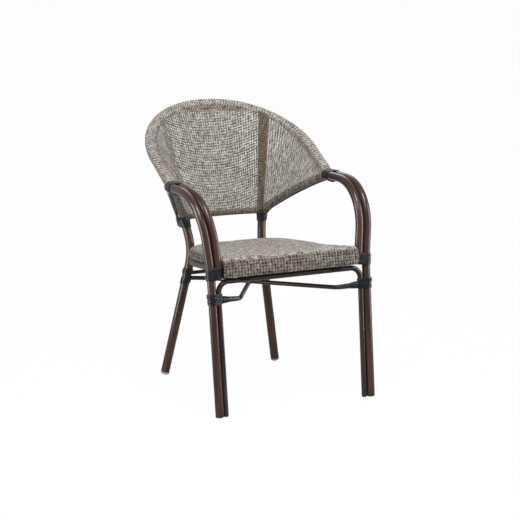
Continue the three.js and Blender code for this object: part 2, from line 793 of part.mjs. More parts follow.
// The cushion's front hangs down over the base as a skirt
function skirt() {
  const depth = skirtThickness;
  const height = cushionBottom + cushionThickness / 2;
  const profile = new THREE.Shape();
  profile.moveTo(0, height);
  profile.lineTo(0, skirtEdgeRadius);
  profile.quadraticCurveTo(0, 0, skirtEdgeRadius, 0);
  profile.lineTo(depth - skirtEdgeRadius, 0);
  profile.quadraticCurveTo(depth, 0, depth, skirtEdgeRadius);
  profile.lineTo(depth, height);
  profile.closePath();
  const width = 2 * seatFrontHalfWidth;
  const body = new THREE.ExtrudeGeometry(profile, { depth: width, bevelEnabled: false, curveSegments: skirtSegments });
  return body.rotateZ(Math.PI / 2).rotateY(Math.PI / 2).translate(-width / 2, seatFrontSetback, 0);
}

function strippedRoom(path, shift) {
  const diameter = armTubeDiameter + 2 * (stripThickness + 3 * clearance);
  return roomAlong(path, diameter).translate(shift, 0, 0);
}

const legRooms = [strippedRoom(outerArmStations, 0), strippedRoom(outerArmStations, -armPairPitch)];
const allLegRooms = [...legRooms, ...legRooms.map(mirrored)];
const cushionPad = onSeat(pad(0, cushionBottom, cushionThickness, cushionEdgeRadius, cushionCrown));
const cushion = cut(join(cushionPad, onSeat(skirt())), ...allLegRooms);
const skirtRoom = boxBetween(
  new THREE.Vector3(-seatFrontHalfWidth, 0, -overrun),
  new THREE.Vector3(seatFrontHalfWidth, seatFrontSetback + skirtThickness + clearance, overrun),
);
const boardBottom = baseThickness - boardThickness;
const base = cut(
  onSeat(pad(baseInset, 0, baseThickness, baseThickness * baseEdgeShare, 0)),
  onSeat(plate(boardInset - clearance, boardBottom - clearance, boardThickness + baseThickness)),
  onSeat(skirtRoom),
  ...allLegRooms,
);
const board = onSeat(plate(boardInset, boardBottom, boardThickness));

// Rear seat rail, bent forward from the rear legs so that it lies under the seat
const railBelowSeat = saddleSeat + seatRailDiameter / 2;
const seatRailHeight = seatHeightAt(seatRailSetback) - railBelowSeat;
const seatRailEnd = pointAtHeight(rearFoot, rearKnee, seatRailHeight);
const seatRailCorner = new THREE.Vector3(seatRailCornerHalfSpread, seatRailSetback, seatRailHeight);
const seatRailCorners = [seatRailEnd, seatRailCorner, mirrorPoint(seatRailCorner), mirrorPoint(seatRailEnd)];
const seatRailStations = stationsOnBends(bentLine(seatRailCorners, [seatRailBendRadius, seatRailBendRadius]));
const seatRail = cut(
  tubeAlong(seatRailStations, seatRailDiameter, thinTubeSides), rearRoom, mirrored(rearRoom),
);

// Saddles between the tubes under the seat and its base
function saddle(halfSpread, setback, tubeHeight, tubeRoom) {
  const low = new THREE.Vector3(halfSpread - saddleLength / 2, setback - saddleHalfWidth, tubeHeight);
  const high = new THREE.Vector3(halfSpread + saddleLength / 2, setback + saddleHalfWidth, seatFrontBottom);
  const aboveSeat = new THREE.BoxGeometry(4 * seatFrontHalfWidth, 4 * seatRearSetback, 2 * overrun);
  onSeat(aboveSeat.translate(0, 0, overrun - clearance));
  return cut(boxBetween(low, high), tubeRoom, aboveSeat);
}

const seatRailRoom = roomAlong(seatRailStations, seatRailDiameter, thinTubeSides);
const frontSaddle = saddle(saddleFrontHalfSpread, archCorner.y, archRunHeight, archRoom);
const rearSaddle = saddle(saddleRearHalfSpread, seatRailSetback, seatRailHeight, seatRailRoom);

// Wound bindings: a flat strip in one unbroken helix round a bundle of tubes

function pointAtLevel(path, axis, level) {
  let low = 0;
  let high = 1;
  for (let i = 0; i < levelSearchSteps; i += 1) {
    const middle = (low + high) / 2;
    if (path.getPointAt(middle)[axis] < level) {
      low = middle;
    } else {
      high = middle;
    }
  }
  const tangent = path.getTangentAt(low);
  const point = path.getPointAt(low);
  return { point: point.addScaledVector(tangent, (level - point[axis]) / tangent[axis]), tangent };
}

// A circle round one tube of the bundle, at a level on the winding's axis
function circleOn(path, axis, diameter, level) {
  const { point, tangent } = pointAtLevel(path, axis, level);
  const across = axis === 'z' ? new THREE.Vector2(point.x, point.y) : new THREE.Vector2(point.z, point.x);
  return { centre: across, radius: diameter / 2 / Math.abs(tangent[axis]) + clearance };
}

// Which circle, and which way out of it, each corner of the bundle's outline comes from
function outlineLabels(circles) {
  const spread = 1 / Math.cos(Math.PI / windingSteps);
  const candidates = circles.flatMap((circle, order) => Array.from({ length: windingSteps }, (_, i) => {
    const angle = ((i + 0.5) * 2 * Math.PI) / windingSteps;
    const out = new THREE.Vector2(Math.cos(angle), Math.sin(angle));
    return { order, out, place: circle.centre.clone().addScaledVector(out, circle.radius * spread) };
  }));
  candidates.sort((a, b) => a.place.x - b.place.x || a.place.y - b.place.y);
  const turnsLeft = (a, b, c) => b.place.clone().sub(a.place).cross(c.place.clone().sub(a.place)) > weldTolerance;
  const chain = (list) => {
    const kept = [];
    list.forEach((candidate) => {
      while (kept.length > 1 && !turnsLeft(kept[kept.length - 2], kept[kept.length - 1], candidate)) {
        kept.pop();
      }
      kept.push(candidate);
    });
    return kept.slice(0, -1);
  };
  return [...chain(candidates), ...chain([...candidates].reverse())];
}

function loft(sections) {
  const count = sections[0].length;
  const positions = sections.flatMap((section) => section.flatMap((point) => [point.x, point.y, point.z]));
  const index = [];
  for (let k = 0; k < sections.length - 1; k += 1) {
    for (let i = 0; i < count; i += 1) {
      const here = k * count + i;
      const beside = k * count + ((i + 1) % count);
      index.push(here, here + count, beside + count, here, beside + count, beside);
    }
  }
  const last = (sections.length - 1) * count;
  for (let i = 1; i < count - 1; i += 1) {
    index.push(0, i, i + 1, last, last + i + 1, last + i);
  }
  const geometry = new THREE.BufferGeometry();
  geometry.setAttribute('position', new THREE.Float32BufferAttribute(positions, 3));
  geometry.setIndex(index);
  return geometry;
}

function leastGap(sections, turnSteps) {
  let least = Infinity;
  sections.forEach((section, k) => {
    sections.slice(k + Math.round(turnSteps / 2)).forEach((other) => {
      section.forEach((a) => other.forEach((b) => {
        least = Math.min(least, a.distanceTo(b));
      }));
    });
  });
  return least;
}

// Levels of the strip's middle at each step: turns at one pitch, with one fast climb past a brace
function windingLevels(start, pitch, turnSteps, turnsBelow, climb, turnsAbove) {
  const levels = [start];
  const climbSteps = climb > 0 ? Math.round(turnSteps / 3) : 0;
  const slowSteps = Math.round(turnsBelow * turnSteps);
  const total = slowSteps + climbSteps + Math.round(turnsAbove * turnSteps);
  for (let k = 0; k < total; k += 1) {
    const climbing = k >= slowSteps && k < slowSteps + climbSteps;
    levels.push(levels[levels.length - 1] + (climbing ? climb / climbSteps : pitch / turnSteps));
  }
  return levels;
}

function winding(name, { axis, circlesAt, stripWidth, start, turnsBelow, climb = 0, turnsAbove = 0, shapeAt = start }) {
  const labels = outlineLabels(circlesAt(shapeAt));
  const pitch = stripWidth + stripGap;
  const levels = windingLevels(start, pitch, labels.length, turnsBelow, climb, turnsAbove);
  const spread = 1 / Math.cos(Math.PI / windingSteps);
  const facing = labels.map((label) => label.out.x);
  const first = facing.indexOf(Math.max(...facing)) - Math.round(labels.length / 6) + labels.length;
  const sections = levels.map((level, k) => {
    const { order, out } = labels[(first + k) % labels.length];
    const corner = (height, lift) => {
      const circle = circlesAt(height)[order];
      const flat = circle.centre.clone().addScaledVector(out, circle.radius * spread + lift);
      return axis === 'z'
        ? new THREE.Vector3(flat.x, flat.y, height)
        : new THREE.Vector3(flat.y, height, flat.x);
    };
    const low = level - stripWidth / 2;
    const high = level + stripWidth / 2;
    return [corner(low, 0), corner(low, stripThickness), corner(high, stripThickness), corner(high, 0)];
  });
  console.log(name, 'least gap', leastGap(sections, labels.length).toFixed(2), 'turns', levels.length / labels.length);
  return loft(sections);
}

function raised(circle, extra) {
  return { centre: circle.centre, radius: circle.radius + extra };
}

const legPitch = legStripWidth + stripGap;
const bracePitch = braceStripWidth + stripGap;

const armBinding = winding('arm binding', {
  axis: 'y',
  circlesAt: (level) => {
    const outer = circleOn(outerArmLine, 'y', armTubeDiameter, Math.min(level, armEndSetback));
    const inner = { centre: outer.centre.clone().sub(new THREE.Vector2(0, armPairPitch)), radius: outer.radius };
    const rim = circleOn(rimLine, 'y', rearTubeDiameter, Math.max(level, armEndSetback));
    return [outer, inner, rim];
  },
  stripWidth: armStripWidth,
  start: armBindingStart + armStripWidth / 2,
  shapeAt: armBindingEnd,
  turnsBelow: (armBindingEnd - armBindingStart - armStripWidth) / (armStripWidth + stripGap),
});

const uprightBindingTop = railHeight - lowerCoverOuter * mitre(lowerPoints, coverWingStations) - 2 * clearance;
const uprightBindingBottom = uprightBindingTop - uprightBindingHeight;
const uprightBinding = winding('upright binding', {
  axis: 'z',
  circlesAt: (level) => {
    const share = THREE.MathUtils.clamp((level - uprightBindingBottom) / uprightBindingHeight, 0, 1);
    return [raised(circleOn(rearLine, 'z', rearTubeDiameter, level), uprightBindingFlare * share ** 2)];
  },
  stripWidth: armStripWidth,
  start: uprightBindingBottom + armStripWidth / 2,
  turnsBelow: (uprightBindingHeight - armStripWidth) / (armStripWidth + stripGap),
});

const seatBinding = winding('seat binding', {
  axis: 'z',
  circlesAt: (level) => {
    const outer = circleOn(outerArmLine, 'z', armTubeDiameter, level);
    const taper = innerArmEndHeight - legStripWidth - 2 * clearance - seatBindingBottom;
    const share = THREE.MathUtils.clamp((level - seatBindingBottom) / taper, 0, 1);
    const centre = outer.centre.clone().sub(new THREE.Vector2(armPairPitch * share, 0));
    return [outer, { centre, radius: outer.radius }];
  },
  stripWidth: legStripWidth,
  start: seatBindingBottom + legStripWidth / 2,
  shapeAt: seatBindingTop,
  turnsBelow: (seatBindingTop - seatBindingBottom - legStripWidth) / legPitch,
});

const braceBelow = frontBraceHeight - braceTubeDiameter / 2 - 2 * clearance;
const braceAbove = frontBraceHeight + braceTubeDiameter / 2 + 2 * clearance;
const braceBinding = winding('brace binding', {
  axis: 'z',
  circlesAt: (level) => [
    circleOn(outerArmLine, 'z', armTubeDiameter, level),
    circleOn(archLine, 'z', archTubeDiameter, level),
  ],
  stripWidth: braceStripWidth,
  start: braceBelow - braceStripWidth / 2 - braceBindingTurns * bracePitch,
  turnsBelow: braceBindingTurns,
  climb: braceAbove - braceBelow + braceStripWidth,
  turnsAbove: braceBindingTurns,
});

const rearBelow = braceRearHeight - braceTubeDiameter / 2 - 2 * clearance;
const rearAbove = stretcherHeight + stretcherTubeDiameter / 2 + 2 * clearance;
const rearBinding = winding('rear binding', {
  axis: 'z',
  circlesAt: (level) => [circleOn(rearLine, 'z', rearTubeDiameter, level)],
  stripWidth: braceStripWidth,
  start: rearBelow - braceStripWidth / 2 - rearBindingTurnsBelow * bracePitch,
  turnsBelow: rearBindingTurnsBelow,
  climb: rearAbove - rearBelow + braceStripWidth,
  turnsAbove: rearBindingTurnsAbove,
});

// The chair, each piece a mesh of its own; left and right are as seen from the front

const chair = new THREE.Group();

function place(name, geometry, color, roughness, metalness) {
  const mesh = new THREE.Mesh(geometry, new THREE.MeshStandardMaterial({ color, roughness, metalness }));
  mesh.name = name;
  chair.add(mesh);
}

function placePair(name, geometry, color, roughness, metalness) {
  place(`right_${name}`, geometry, color, roughness, metalness);
  place(`left_${name}`, mirrored(geometry), color, roughness, metalness);
}

placePair('front_leg_tube', outerArmTube, brown, 0.35, 0.3);
placePair('inner_arm_tube', innerArmTube, brown, 0.35, 0.3);
place('front_arch_tube', archTube, darkBrown, 0.4, 0.3);
placePair('rear_leg_tube', rearTube, brown, 0.35, 0.3);
place('back_rim_tube', rimTube, brown, 0.35, 0.3);
place('back_rail_tube', railTube, brown, 0.35, 0.3);
placePair('wing_tube', wingTube, brown, 0.35, 0.3);
placePair('wing_stay', stayRod, bindingBlack, 0.4, 0.1);
place('cross_brace_through', fullBrace, darkBrown, 0.4, 0.3);
place('cross_brace_front_half', braceHalves[0], darkBrown, 0.4, 0.3);
place('cross_brace_rear_half', braceHalves[1], darkBrown, 0.4, 0.3);
placePair('brace_socket', braceSocket, bindingBlack, 0.5, 0);
place('rear_stretcher', stretcher, darkBrown, 0.4, 0.3);
place('rear_seat_rail', seatRail, darkBrown, 0.4, 0.3);
place('back_cover', backCover, fabricGrey, 0.85, 0);
place('seat_cushion', cushion, seatFabric, 0.85, 0);
place('seat_base', base, taupe, 0.8, 0);
place('seat_board', board, boardWood, 0.8, 0);
placePair('front_saddle', frontSaddle, darkGlide, 0.6, 0);
placePair('rear_saddle', rearSaddle, darkGlide, 0.6, 0);
placePair('front_foot', glide(frontLeg, armTubeDiameter, glideHeight), darkGlide, 0.6, 0);
placePair('arch_foot', glide(archLeg, archTubeDiameter, glideHeight), darkGlide, 0.6, 0);
placePair('rear_foot', glide(rearLeg, rearTubeDiameter, rearGlideHeight), paleGlide, 0.6, 0);
placePair('arm_binding', armBinding, bindingBlack, 0.5, 0);
placePair('upright_binding', uprightBinding, bindingBlack, 0.5, 0);
placePair('seat_binding', seatBinding, bindingBlack, 0.5, 0);
placePair('brace_binding', braceBinding, bindingBlack, 0.5, 0);
placePair('rear_binding', rearBinding, bindingBlack, 0.5, 0);

// The origin is on the floor under the middle of the chair
const bounds = new THREE.Box3().setFromObject(chair);
chair.position.y = -(bounds.min.y + bounds.max.y) / 2;

export default chair;
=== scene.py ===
"""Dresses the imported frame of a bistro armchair: bent tubes, tub back, padded seat and wound bindings.

The tables hold millimetres, with the front feet at a setback of zero; placed() turns them into metres in the
frame's axes. Left and right are as seen from the front.
"""

import math
from types import SimpleNamespace

import bpy
import numpy as np
from mathutils import Matrix, Vector


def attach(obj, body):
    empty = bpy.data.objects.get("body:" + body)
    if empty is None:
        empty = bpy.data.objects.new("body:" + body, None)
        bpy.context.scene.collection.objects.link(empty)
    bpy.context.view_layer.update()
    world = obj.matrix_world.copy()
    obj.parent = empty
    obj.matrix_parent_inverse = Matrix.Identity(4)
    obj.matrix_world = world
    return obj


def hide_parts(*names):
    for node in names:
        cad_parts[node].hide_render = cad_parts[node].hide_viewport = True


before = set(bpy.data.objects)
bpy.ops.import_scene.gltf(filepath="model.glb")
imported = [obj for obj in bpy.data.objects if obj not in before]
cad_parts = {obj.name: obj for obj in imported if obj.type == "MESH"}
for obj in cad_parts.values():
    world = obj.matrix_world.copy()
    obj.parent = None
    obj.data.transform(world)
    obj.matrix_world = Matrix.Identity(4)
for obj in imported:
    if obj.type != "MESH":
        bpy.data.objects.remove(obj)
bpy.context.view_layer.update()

bl_info = {
    "name": "Bistro armchair",
    "version": (1, 0, 0),
    "blender": (4, 5, 0),
    "location": "3D View > Sidebar > Armchair",
    "description": "Builds the tubes, tub back, padded seat and wound bindings of a bistro armchair",
    "category": "Object",
}

MM = 0.001
X, Y, Z = range(3)
ORIGIN_SETBACK = 313.43
CLEARANCE = 0.3

ARM_HEIGHT = 631
ARM_END = 283
INNER_ARM_END = 407
TUBE_PAIR_PITCH = 25.4
RIM_TILT = math.radians(30.1)
RIM_REACH = 387
RAIL_HEIGHT = 500
UPRIGHT_SHARE = 0.633
BRACE_HEIGHT = 337
REAR_BRACE_HEIGHT = 310
STRETCHER_HEIGHT = 325
STRETCHER_DIAMETER = 12
SEAT_RAIL_SETBACK = 425
SEAT_RAIL_DROP = 11
SEAT_RAIL_DIAMETER = 16
STAY_DIAMETER = 9
STAY_TAIL_END = 472
GLIDE_HEIGHT = 7
REAR_GLIDE_HEIGHT = 10

SEAT_FRONT = 20
SEAT_BOTTOM = 400.7
SEAT_SLOPE = math.radians(5)
SEAT_MIDDLE = np.array([0, 238.0])
BASE_THICKNESS = 19
CUSHION_THICKNESS = 35
SKIRT_WIDTH = 446
SKIRT_DEPTH = 12.5
SKIRT_BELOW_TOP = 9
ROOM_ROUND_ARMS = 15.8

COVER_FRONT = 289.4
COVER_ROOM = 0.9
UPRIGHT_RELIEF = 26
WING_STATIONS = 60
RAIL_STATIONS = 27
ARC_STEPS = 16
PANEL_STEPS = 22


# Lines and places


def placed(points):
    """Drawn millimetres as metres in the frame's axes."""
    return (np.asarray(points, float) - (0, ORIGIN_SETBACK, 0)) * MM


def drawn(points):
    """Metres in the frame's axes as drawn millimetres."""
    return np.asarray(points) / MM + (0, ORIGIN_SETBACK, 0)


def unit(vector):
    return vector / np.linalg.norm(vector, axis=-1, keepdims=True)


def flipped(points):
    return np.asarray(points, float) * (-1, 1, 1)


def bent(corners, radii, step=3.0):
    """Straight runs joined by arcs, as a bender makes a tube."""
    corners = [np.array(c, float) for c in corners]
    points = [corners[0]]
    for before, corner, after, radius in zip(corners, corners[1:], corners[2:], radii):
        back, on = unit(before - corner), unit(after - corner)
        half = math.acos(float(np.clip(back @ on, -1, 1))) / 2
        centre = corner + unit(back + on) * radius / math.sin(half)
        spoke = corner + back * radius / math.tan(half) - centre
        axis = unit(np.cross(spoke, corner + on * radius / math.tan(half) - centre))
        side = np.cross(axis, spoke)
        sweep = math.pi - 2 * half
        steps = max(2, round(math.degrees(sweep) / step))
        for angle in np.linspace(0, sweep, steps + 1):
            points.append(centre + spoke * math.cos(angle) + side * math.sin(angle))
    points.append(corners[-1])
    return np.array(points)


def arched(end, corner, radius, step=3.0):
    """A tube from one side to the other, bent at a corner and at its mirror image."""
    return bent([end, corner, flipped(corner), flipped(end)], [radius, radius], step)


def bow(start, pull, end, count=48):
    t = np.linspace(0, 1, count)[:, None]
    return (1 - t) ** 2 * start + 2 * t * (1 - t) * pull + t**2 * end


def lengths_along(points):
    return np.concatenate([[0], np.cumsum(np.linalg.norm(np.diff(points, axis=0), axis=1))])


def at_shares(points, shares):
    run = lengths_along(points)
    wanted = np.asarray(shares) * run[-1]
    return np.stack([np.interp(wanted, run, points[:, k]) for k in range(points.shape[1])], axis=-1)


def at_level(points, axis, level):
    """Where a line that climbs along an axis passes a level."""
    return np.array([np.interp(level, points[:, axis], points[:, k]) for k in range(3)])


def between_levels(points, axis, low, high):
    low, high = max(low, points[0, axis]), min(high, points[-1, axis])
    inside = (points[:, axis] > low + 0.01) & (points[:, axis] < high - 0.01)
    return np.vstack([at_level(points, axis, low), points[inside], at_level(points, axis, high)])


FRONT_FOOT = np.array([250.0, 0, 0])
FRONT_KNEE = np.array([254.5, 47, 415])
ARM_LINE = bent([FRONT_FOOT, FRONT_KNEE, (277, 71, ARM_HEIGHT), (274.7, 323, ARM_HEIGHT)], [420, 150.1])
INNER_ARM_LINE = ARM_LINE - (TUBE_PAIR_PITCH, 0, 0)

ARCH_FOOT = np.array([229.2, 2, 0])
ARCH_CORNER = np.array([233.407, 43.94, 388])
ARCH_LINE = arched(ARCH_FOOT, ARCH_CORNER, 32)
ARCH_LEG = ARCH_LINE[:len(ARCH_LINE) // 2]

RIM_END = np.array([262.0, 288, 630])
RIM_CORNER = RIM_END + (5, RIM_REACH * math.cos(RIM_TILT), RIM_REACH * math.sin(RIM_TILT))
RIM_LINE = arched(RIM_END, RIM_CORNER, 255, step=1.5)

REAR_FOOT = np.array([194.5, 511, 0])
REAR_KNEE = np.array([119.0, 461, 397])
REAR_LEG = np.array([REAR_FOOT, REAR_KNEE])
UPRIGHT_TOP = at_shares(RIM_LINE, [UPRIGHT_SHARE / 2])[0]
REAR_LINE = bent([REAR_FOOT, REAR_KNEE, UPRIGHT_TOP], [190])
UPRIGHT_FOOT = at_level(np.array([REAR_KNEE, UPRIGHT_TOP]), Z, RAIL_HEIGHT)

RAIL_LINE = bow(UPRIGHT_FOOT, UPRIGHT_FOOT * (0, 1, 1) + (0, 38, 0), flipped(UPRIGHT_FOOT))
WING_LINE = bow(RIM_END, (RIM_END + UPRIGHT_FOOT) / 2 + (12, 0, 27), UPRIGHT_FOOT)

BRACE_START = at_level(np.array([ARCH_FOOT, ARCH_CORNER]), Z, BRACE_HEIGHT)
BRACE_BEND = np.array([159.0, 52, 332])
BRACE_END = flipped(at_level(REAR_LEG, Z, REAR_BRACE_HEIGHT))
BRACE_LINE = bent([BRACE_START, BRACE_BEND, (-84, 442, REAR_BRACE_HEIGHT), BRACE_END], [34, 34])
BRACE_LINE = np.vstack([at_shares(BRACE_LINE[:2], np.linspace(0, 1, 9)), BRACE_LINE[2:]])


# Meshes


def select_only(*objects):
    if bpy.context.object and bpy.context.object.mode != "OBJECT":
        bpy.ops.object.mode_set(mode="OBJECT")
    bpy.ops.object.select_all(action="DESELECT")
    for obj in objects:
        obj.select_set(True)
    bpy.context.view_layer.objects.active = objects[0]


def smoothed(obj, angle):
    """Smooths all edges but those sharper than an angle."""
    select_only(obj)
    bpy.ops.object.shade_smooth_by_angle(angle=math.radians(angle), keep_sharp_edges=False)
    return obj


def tidied(obj, smooth_angle=40, merge=True):
    """Merges doubles, turns the faces outwards and smooths all but the sharp edges."""
    select_only(obj)
    bpy.ops.object.mode_set(mode="EDIT")
    bpy.ops.mesh.select_all(action="SELECT")
    if merge:
        bpy.ops.mesh.remove_doubles(threshold=1e-6)
    bpy.ops.mesh.normals_make_consistent(inside=False)
    bpy.ops.object.mode_set(mode="OBJECT")
    return smoothed(obj, smooth_angle)


def mesh_object(name, points, faces):
    mesh = bpy.data.meshes.new(name)
    mesh.from_pydata([tuple(p) for p in points], [], faces)
    obj = bpy.data.objects.new(name, mesh)
    bpy.context.collection.objects.link(obj)
    return obj


def coordinates(obj):
    flat = np.empty(len(obj.data.vertices) * 3)
    obj.data.vertices.foreach_get("co", flat)
    return flat.reshape(-1, 3)


def set_coordinates(obj, points):
    obj.data.vertices.foreach_set("co", np.asarray(points, float).ravel())
    obj.data.update()


def write_vectors(obj, name, values):
    attribute = obj.data.attributes.new(name, "FLOAT_VECTOR", "POINT")
    attribute.data.foreach_set("vector", np.asarray(values, float).ravel())


def apply_modifiers(obj):
    select_only(obj)
    for modifier in list(obj.modifiers):
        bpy.ops.object.modifier_apply(modifier=modifier.name)


def carried_frames(points):
    """Tangents of a line, and a side direction that turns with it as little as it can."""
    along_no_tube = (0.31, 0.95, 0.07)
    tangents = unit(np.diff(points, axis=0))
    side = np.cross(tangents[0], along_no_tube)
    sides = []
    for tangent in tangents:
        side = unit(side - (side @ tangent) * tangent)
        sides.append(side)
    return tangents, np.array(sides)


def nearest_on_line(points, line):
    """For each point: the nearest place on a line, its segment, and its length along the line."""
    starts, steps = line[:-1], np.diff(line, axis=0)
    spans = np.linalg.norm(steps, axis=1)
    along = np.einsum("psk,sk->ps", points[:, None] - starts, steps) / spans**2
    along = np.clip(along, 0, 1)
    feet = starts + along[..., None] * steps
    segment = np.linalg.norm(points[:, None] - feet, axis=2).argmin(1)
    rows = np.arange(len(points))
    run = lengths_along(line)[segment] + along[rows, segment] * spans[segment]
    return feet[rows, segment], segment, run


def write_grain(obj, line):
    """A lengthwise grain: x and y go round the tube, z runs along it, all in metres."""
    points = coordinates(obj)
    feet, segment, run = nearest_on_line(points, line)
    tangents, sides = carried_frames(line)
    out = points - feet
    across = np.einsum("pk,pk->p", out, sides[segment])
    over = np.einsum("pk,pk->p", out, np.cross(tangents, sides)[segment])
    write_vectors(obj, "grain", np.stack([across, over, run], axis=1))


def swept(name, points, diameter, sides=28, swelling=None):
    """A tube swept along a line and closed at both ends."""
    line = placed(points)
    curve = bpy.data.curves.new(name, "CURVE")
    curve.dimensions = "3D"
    curve.bevel_depth = diameter / 2 * MM
    curve.bevel_resolution = sides // 4
    curve.use_fill_caps = True
    spline = curve.splines.new("POLY")
    spline.points.add(len(line) - 1)
    for i, (point, place) in enumerate(zip(spline.points, line)):
        point.co = (*place, 1)
        point.radius = 1 if swelling is None else swelling[i]
    obj = bpy.data.objects.new(name, curve)
    bpy.context.collection.objects.link(obj)
    select_only(obj)
    bpy.ops.object.convert(target="MESH")
    obj = bpy.context.object
    tidied(obj)
    write_grain(obj, line)
    return obj


def turned(name, profile, foot, towards):
    """A profile of (radius, height) pairs spun round the axis of a leg."""
    obj = mesh_object(name, [(r * MM, 0, h * MM) for r, h in profile], [])
    obj.data.edges.add(len(profile) - 1)
    for i, edge in enumerate(obj.data.edges):
        edge.vertices = (i, i + 1)
    select_only(obj)
    bpy.ops.object.mode_set(mode="EDIT")
    bpy.ops.mesh.select_all(action="SELECT")
    bpy.ops.mesh.spin(steps=40, angle=2 * math.pi, center=(0, 0, 0), axis=(0, 0, 1))
    bpy.ops.object.mode_set(mode="OBJECT")
    tidied(obj, smooth_angle=35)
    axis = Vector(unit(np.asarray(towards, float) - foot))
    turn = Vector((0, 0, 1)).rotation_difference(axis).to_matrix().to_4x4()
    obj.data.transform(Matrix.Translation(placed(foot)) @ turn)
    return obj


def finished(obj, material, nodes):
    obj.data.materials.clear()
    obj.data.materials.append(material)
    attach(obj, "root")
    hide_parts(*nodes)
    return obj


def mirrored_copy(obj, name):
    copy = obj.copy()
    copy.data = obj.data.copy()
    copy.name = copy.data.name = name
    bpy.context.collection.objects.link(copy)
    copy.data.transform(Matrix.Scale(-1, 4, (1, 0, 0)))
    copy.data.flip_normals()
    return copy


def finished_pair(obj, piece, material, node):
    """Names a right-hand piece, makes its left-hand copy and finishes both."""
    copy = mirrored_copy(obj, f"left_{piece}")
    obj.name = obj.data.name = f"right_{piece}"
    finished(obj, material, [f"right_{node}"])
    finished(copy, material, [f"left_{node}"])


# Shaders, which count in metres

BACK_YARN = 0.0040
BACK_DOTS = 0.0080
BACK_ROWS = 0.0086
BAND_DASHES = 0.0068
BAND_ROWS = 0.0150
TOP_YARN = 0.0048
SEAT_YARN = 0.0034
SEAT_COLUMNS = 0.0097
SEAT_ROWS = 0.0088


def linear(colour):
    """A colour as seen, 0 to 255 or from a property, as the light that a shader wants."""
    seen = [c / 255 if max(colour) > 1 else c for c in colour]
    return tuple(c / 12.92 if c <= 0.04045 else ((c + 0.055) / 1.055) ** 2.4 for c in seen) + (1.0,)


class Wire:
    """A node's output that sums and products turn into Math nodes."""

    def __init__(self, board, socket):
        self.board = board
        self.socket = socket

    def __add__(self, other):
        return self.board.maths("ADD", self, other)

    def __mul__(self, other):
        return self.board.maths("MULTIPLY", self, other)

    def __sub__(self, other):
        return self.board.maths("SUBTRACT", self, other)

    def __rsub__(self, other):
        return self.board.maths("SUBTRACT", other, self)

    __radd__ = __add__
    __rmul__ = __mul__


class Finish:
    """A material, or a world, under construction.

    Threads lie thread_stride apart in the noise that tones them, so that neighbours differ.
    """

    thread_stride = 7.31

    def __init__(self, name, world=None):
        self.material = world or bpy.data.materials.new(name)
        self.material.use_nodes = True
        self.tree = self.material.node_tree
        self.tree.nodes.clear()

    def node(self, kind, settings=None, inputs=None, output=0):
        node = self.tree.nodes.new(kind)
        for key, value in (settings or {}).items():
            setattr(node, key, value)
        for key, value in (inputs or {}).items():
            if isinstance(value, Wire):
                self.tree.links.new(value.socket, node.inputs[key])
            else:
                node.inputs[key].default_value = value
        return Wire(self, node.outputs[output])

    def maths(self, operation, *values):
        return self.node("ShaderNodeMath", {"operation": operation}, dict(enumerate(values)))

    def most(self, first, *others):
        for other in others:
            first = self.maths("MAXIMUM", first, other)
        return first

    def wave(self, value, pitch):
        return self.maths("COSINE", value * (2 * math.pi / pitch))

    def threads(self, value, pitch):
        """The number of the thread that a place lies on."""
        return self.maths("FLOOR", value * (1 / pitch))

    def step(self, value, low, high):
        """0 below low, 1 above high and a soft climb between."""
        return self.node(
            "ShaderNodeMapRange", {"interpolation_type": "SMOOTHSTEP"},
            {"Value": value, "From Min": low, "From Max": high},
        )

    def mix(self, factor, first, second):
        return self.node("ShaderNodeMix", {"data_type": "RGBA"}, {0: factor, 6: first, 7: second}, output=2)

    def place(self):
        return self.node("ShaderNodeTexCoord", output="Object")

    def attribute(self, name):
        return self.node("ShaderNodeAttribute", {"attribute_name": name}, output="Vector")

    def parts(self, vector):
        split = self.tree.nodes.new("ShaderNodeSeparateXYZ")
        self.tree.links.new(vector.socket, split.inputs[0])
        return [Wire(self, socket) for socket in split.outputs]

    def noise(self, vector, scale, detail, roughness=0.55):
        inputs = {"Vector": vector, "Scale": scale, "Detail": detail, "Roughness": roughness}
        return self.node("ShaderNodeTexNoise", inputs=inputs)

    def clouds(self, x, y, z, detail, roughness=0.55):
        """Noise over three numbers, each already scaled."""
        joined = self.node("ShaderNodeCombineXYZ", inputs={0: x, 1: y, 2: z})
        return self.noise(joined, 1.0, detail, roughness)

    def yarn(self, around, down, pitch):
        """A plain weave in which each thread changes its tone along its own length."""
        column, row = self.threads(around, pitch), self.threads(down, pitch)
        warp = self.clouds(column * self.thread_stride, down * 55, 0.0, 1.0)
        weft = self.clouds(around * 55, row * self.thread_stride, 9.0, 1.0)
        over = self.maths("PINGPONG", column + row, 1.0)
        return self.step(weft + over * (warp - weft), 0.28, 0.72)

    def three_tones(self, tone, dark, middle, light):
        low = self.mix(self.step(tone, 0.05, 0.5), linear(dark), linear(middle))
        return self.mix(self.step(tone, 0.5, 0.95), low, linear(light))

    def bump(self, height, distance, strength):
        inputs = {"Height": height, "Distance": distance, "Strength": strength}
        return self.node("ShaderNodeBump", inputs=inputs)

    def ended(self, shader, kind="ShaderNodeOutputMaterial"):
        output = self.tree.nodes.new(kind)
        self.tree.links.new(shader.socket, output.inputs["Surface"])
        return self.material

    def surface(self, **inputs):
        named = {key.replace("_", " ").title().replace("Ior", "IOR"): value for key, value in inputs.items()}
        return self.ended(self.node("ShaderNodeBsdfPrincipled", inputs=named))


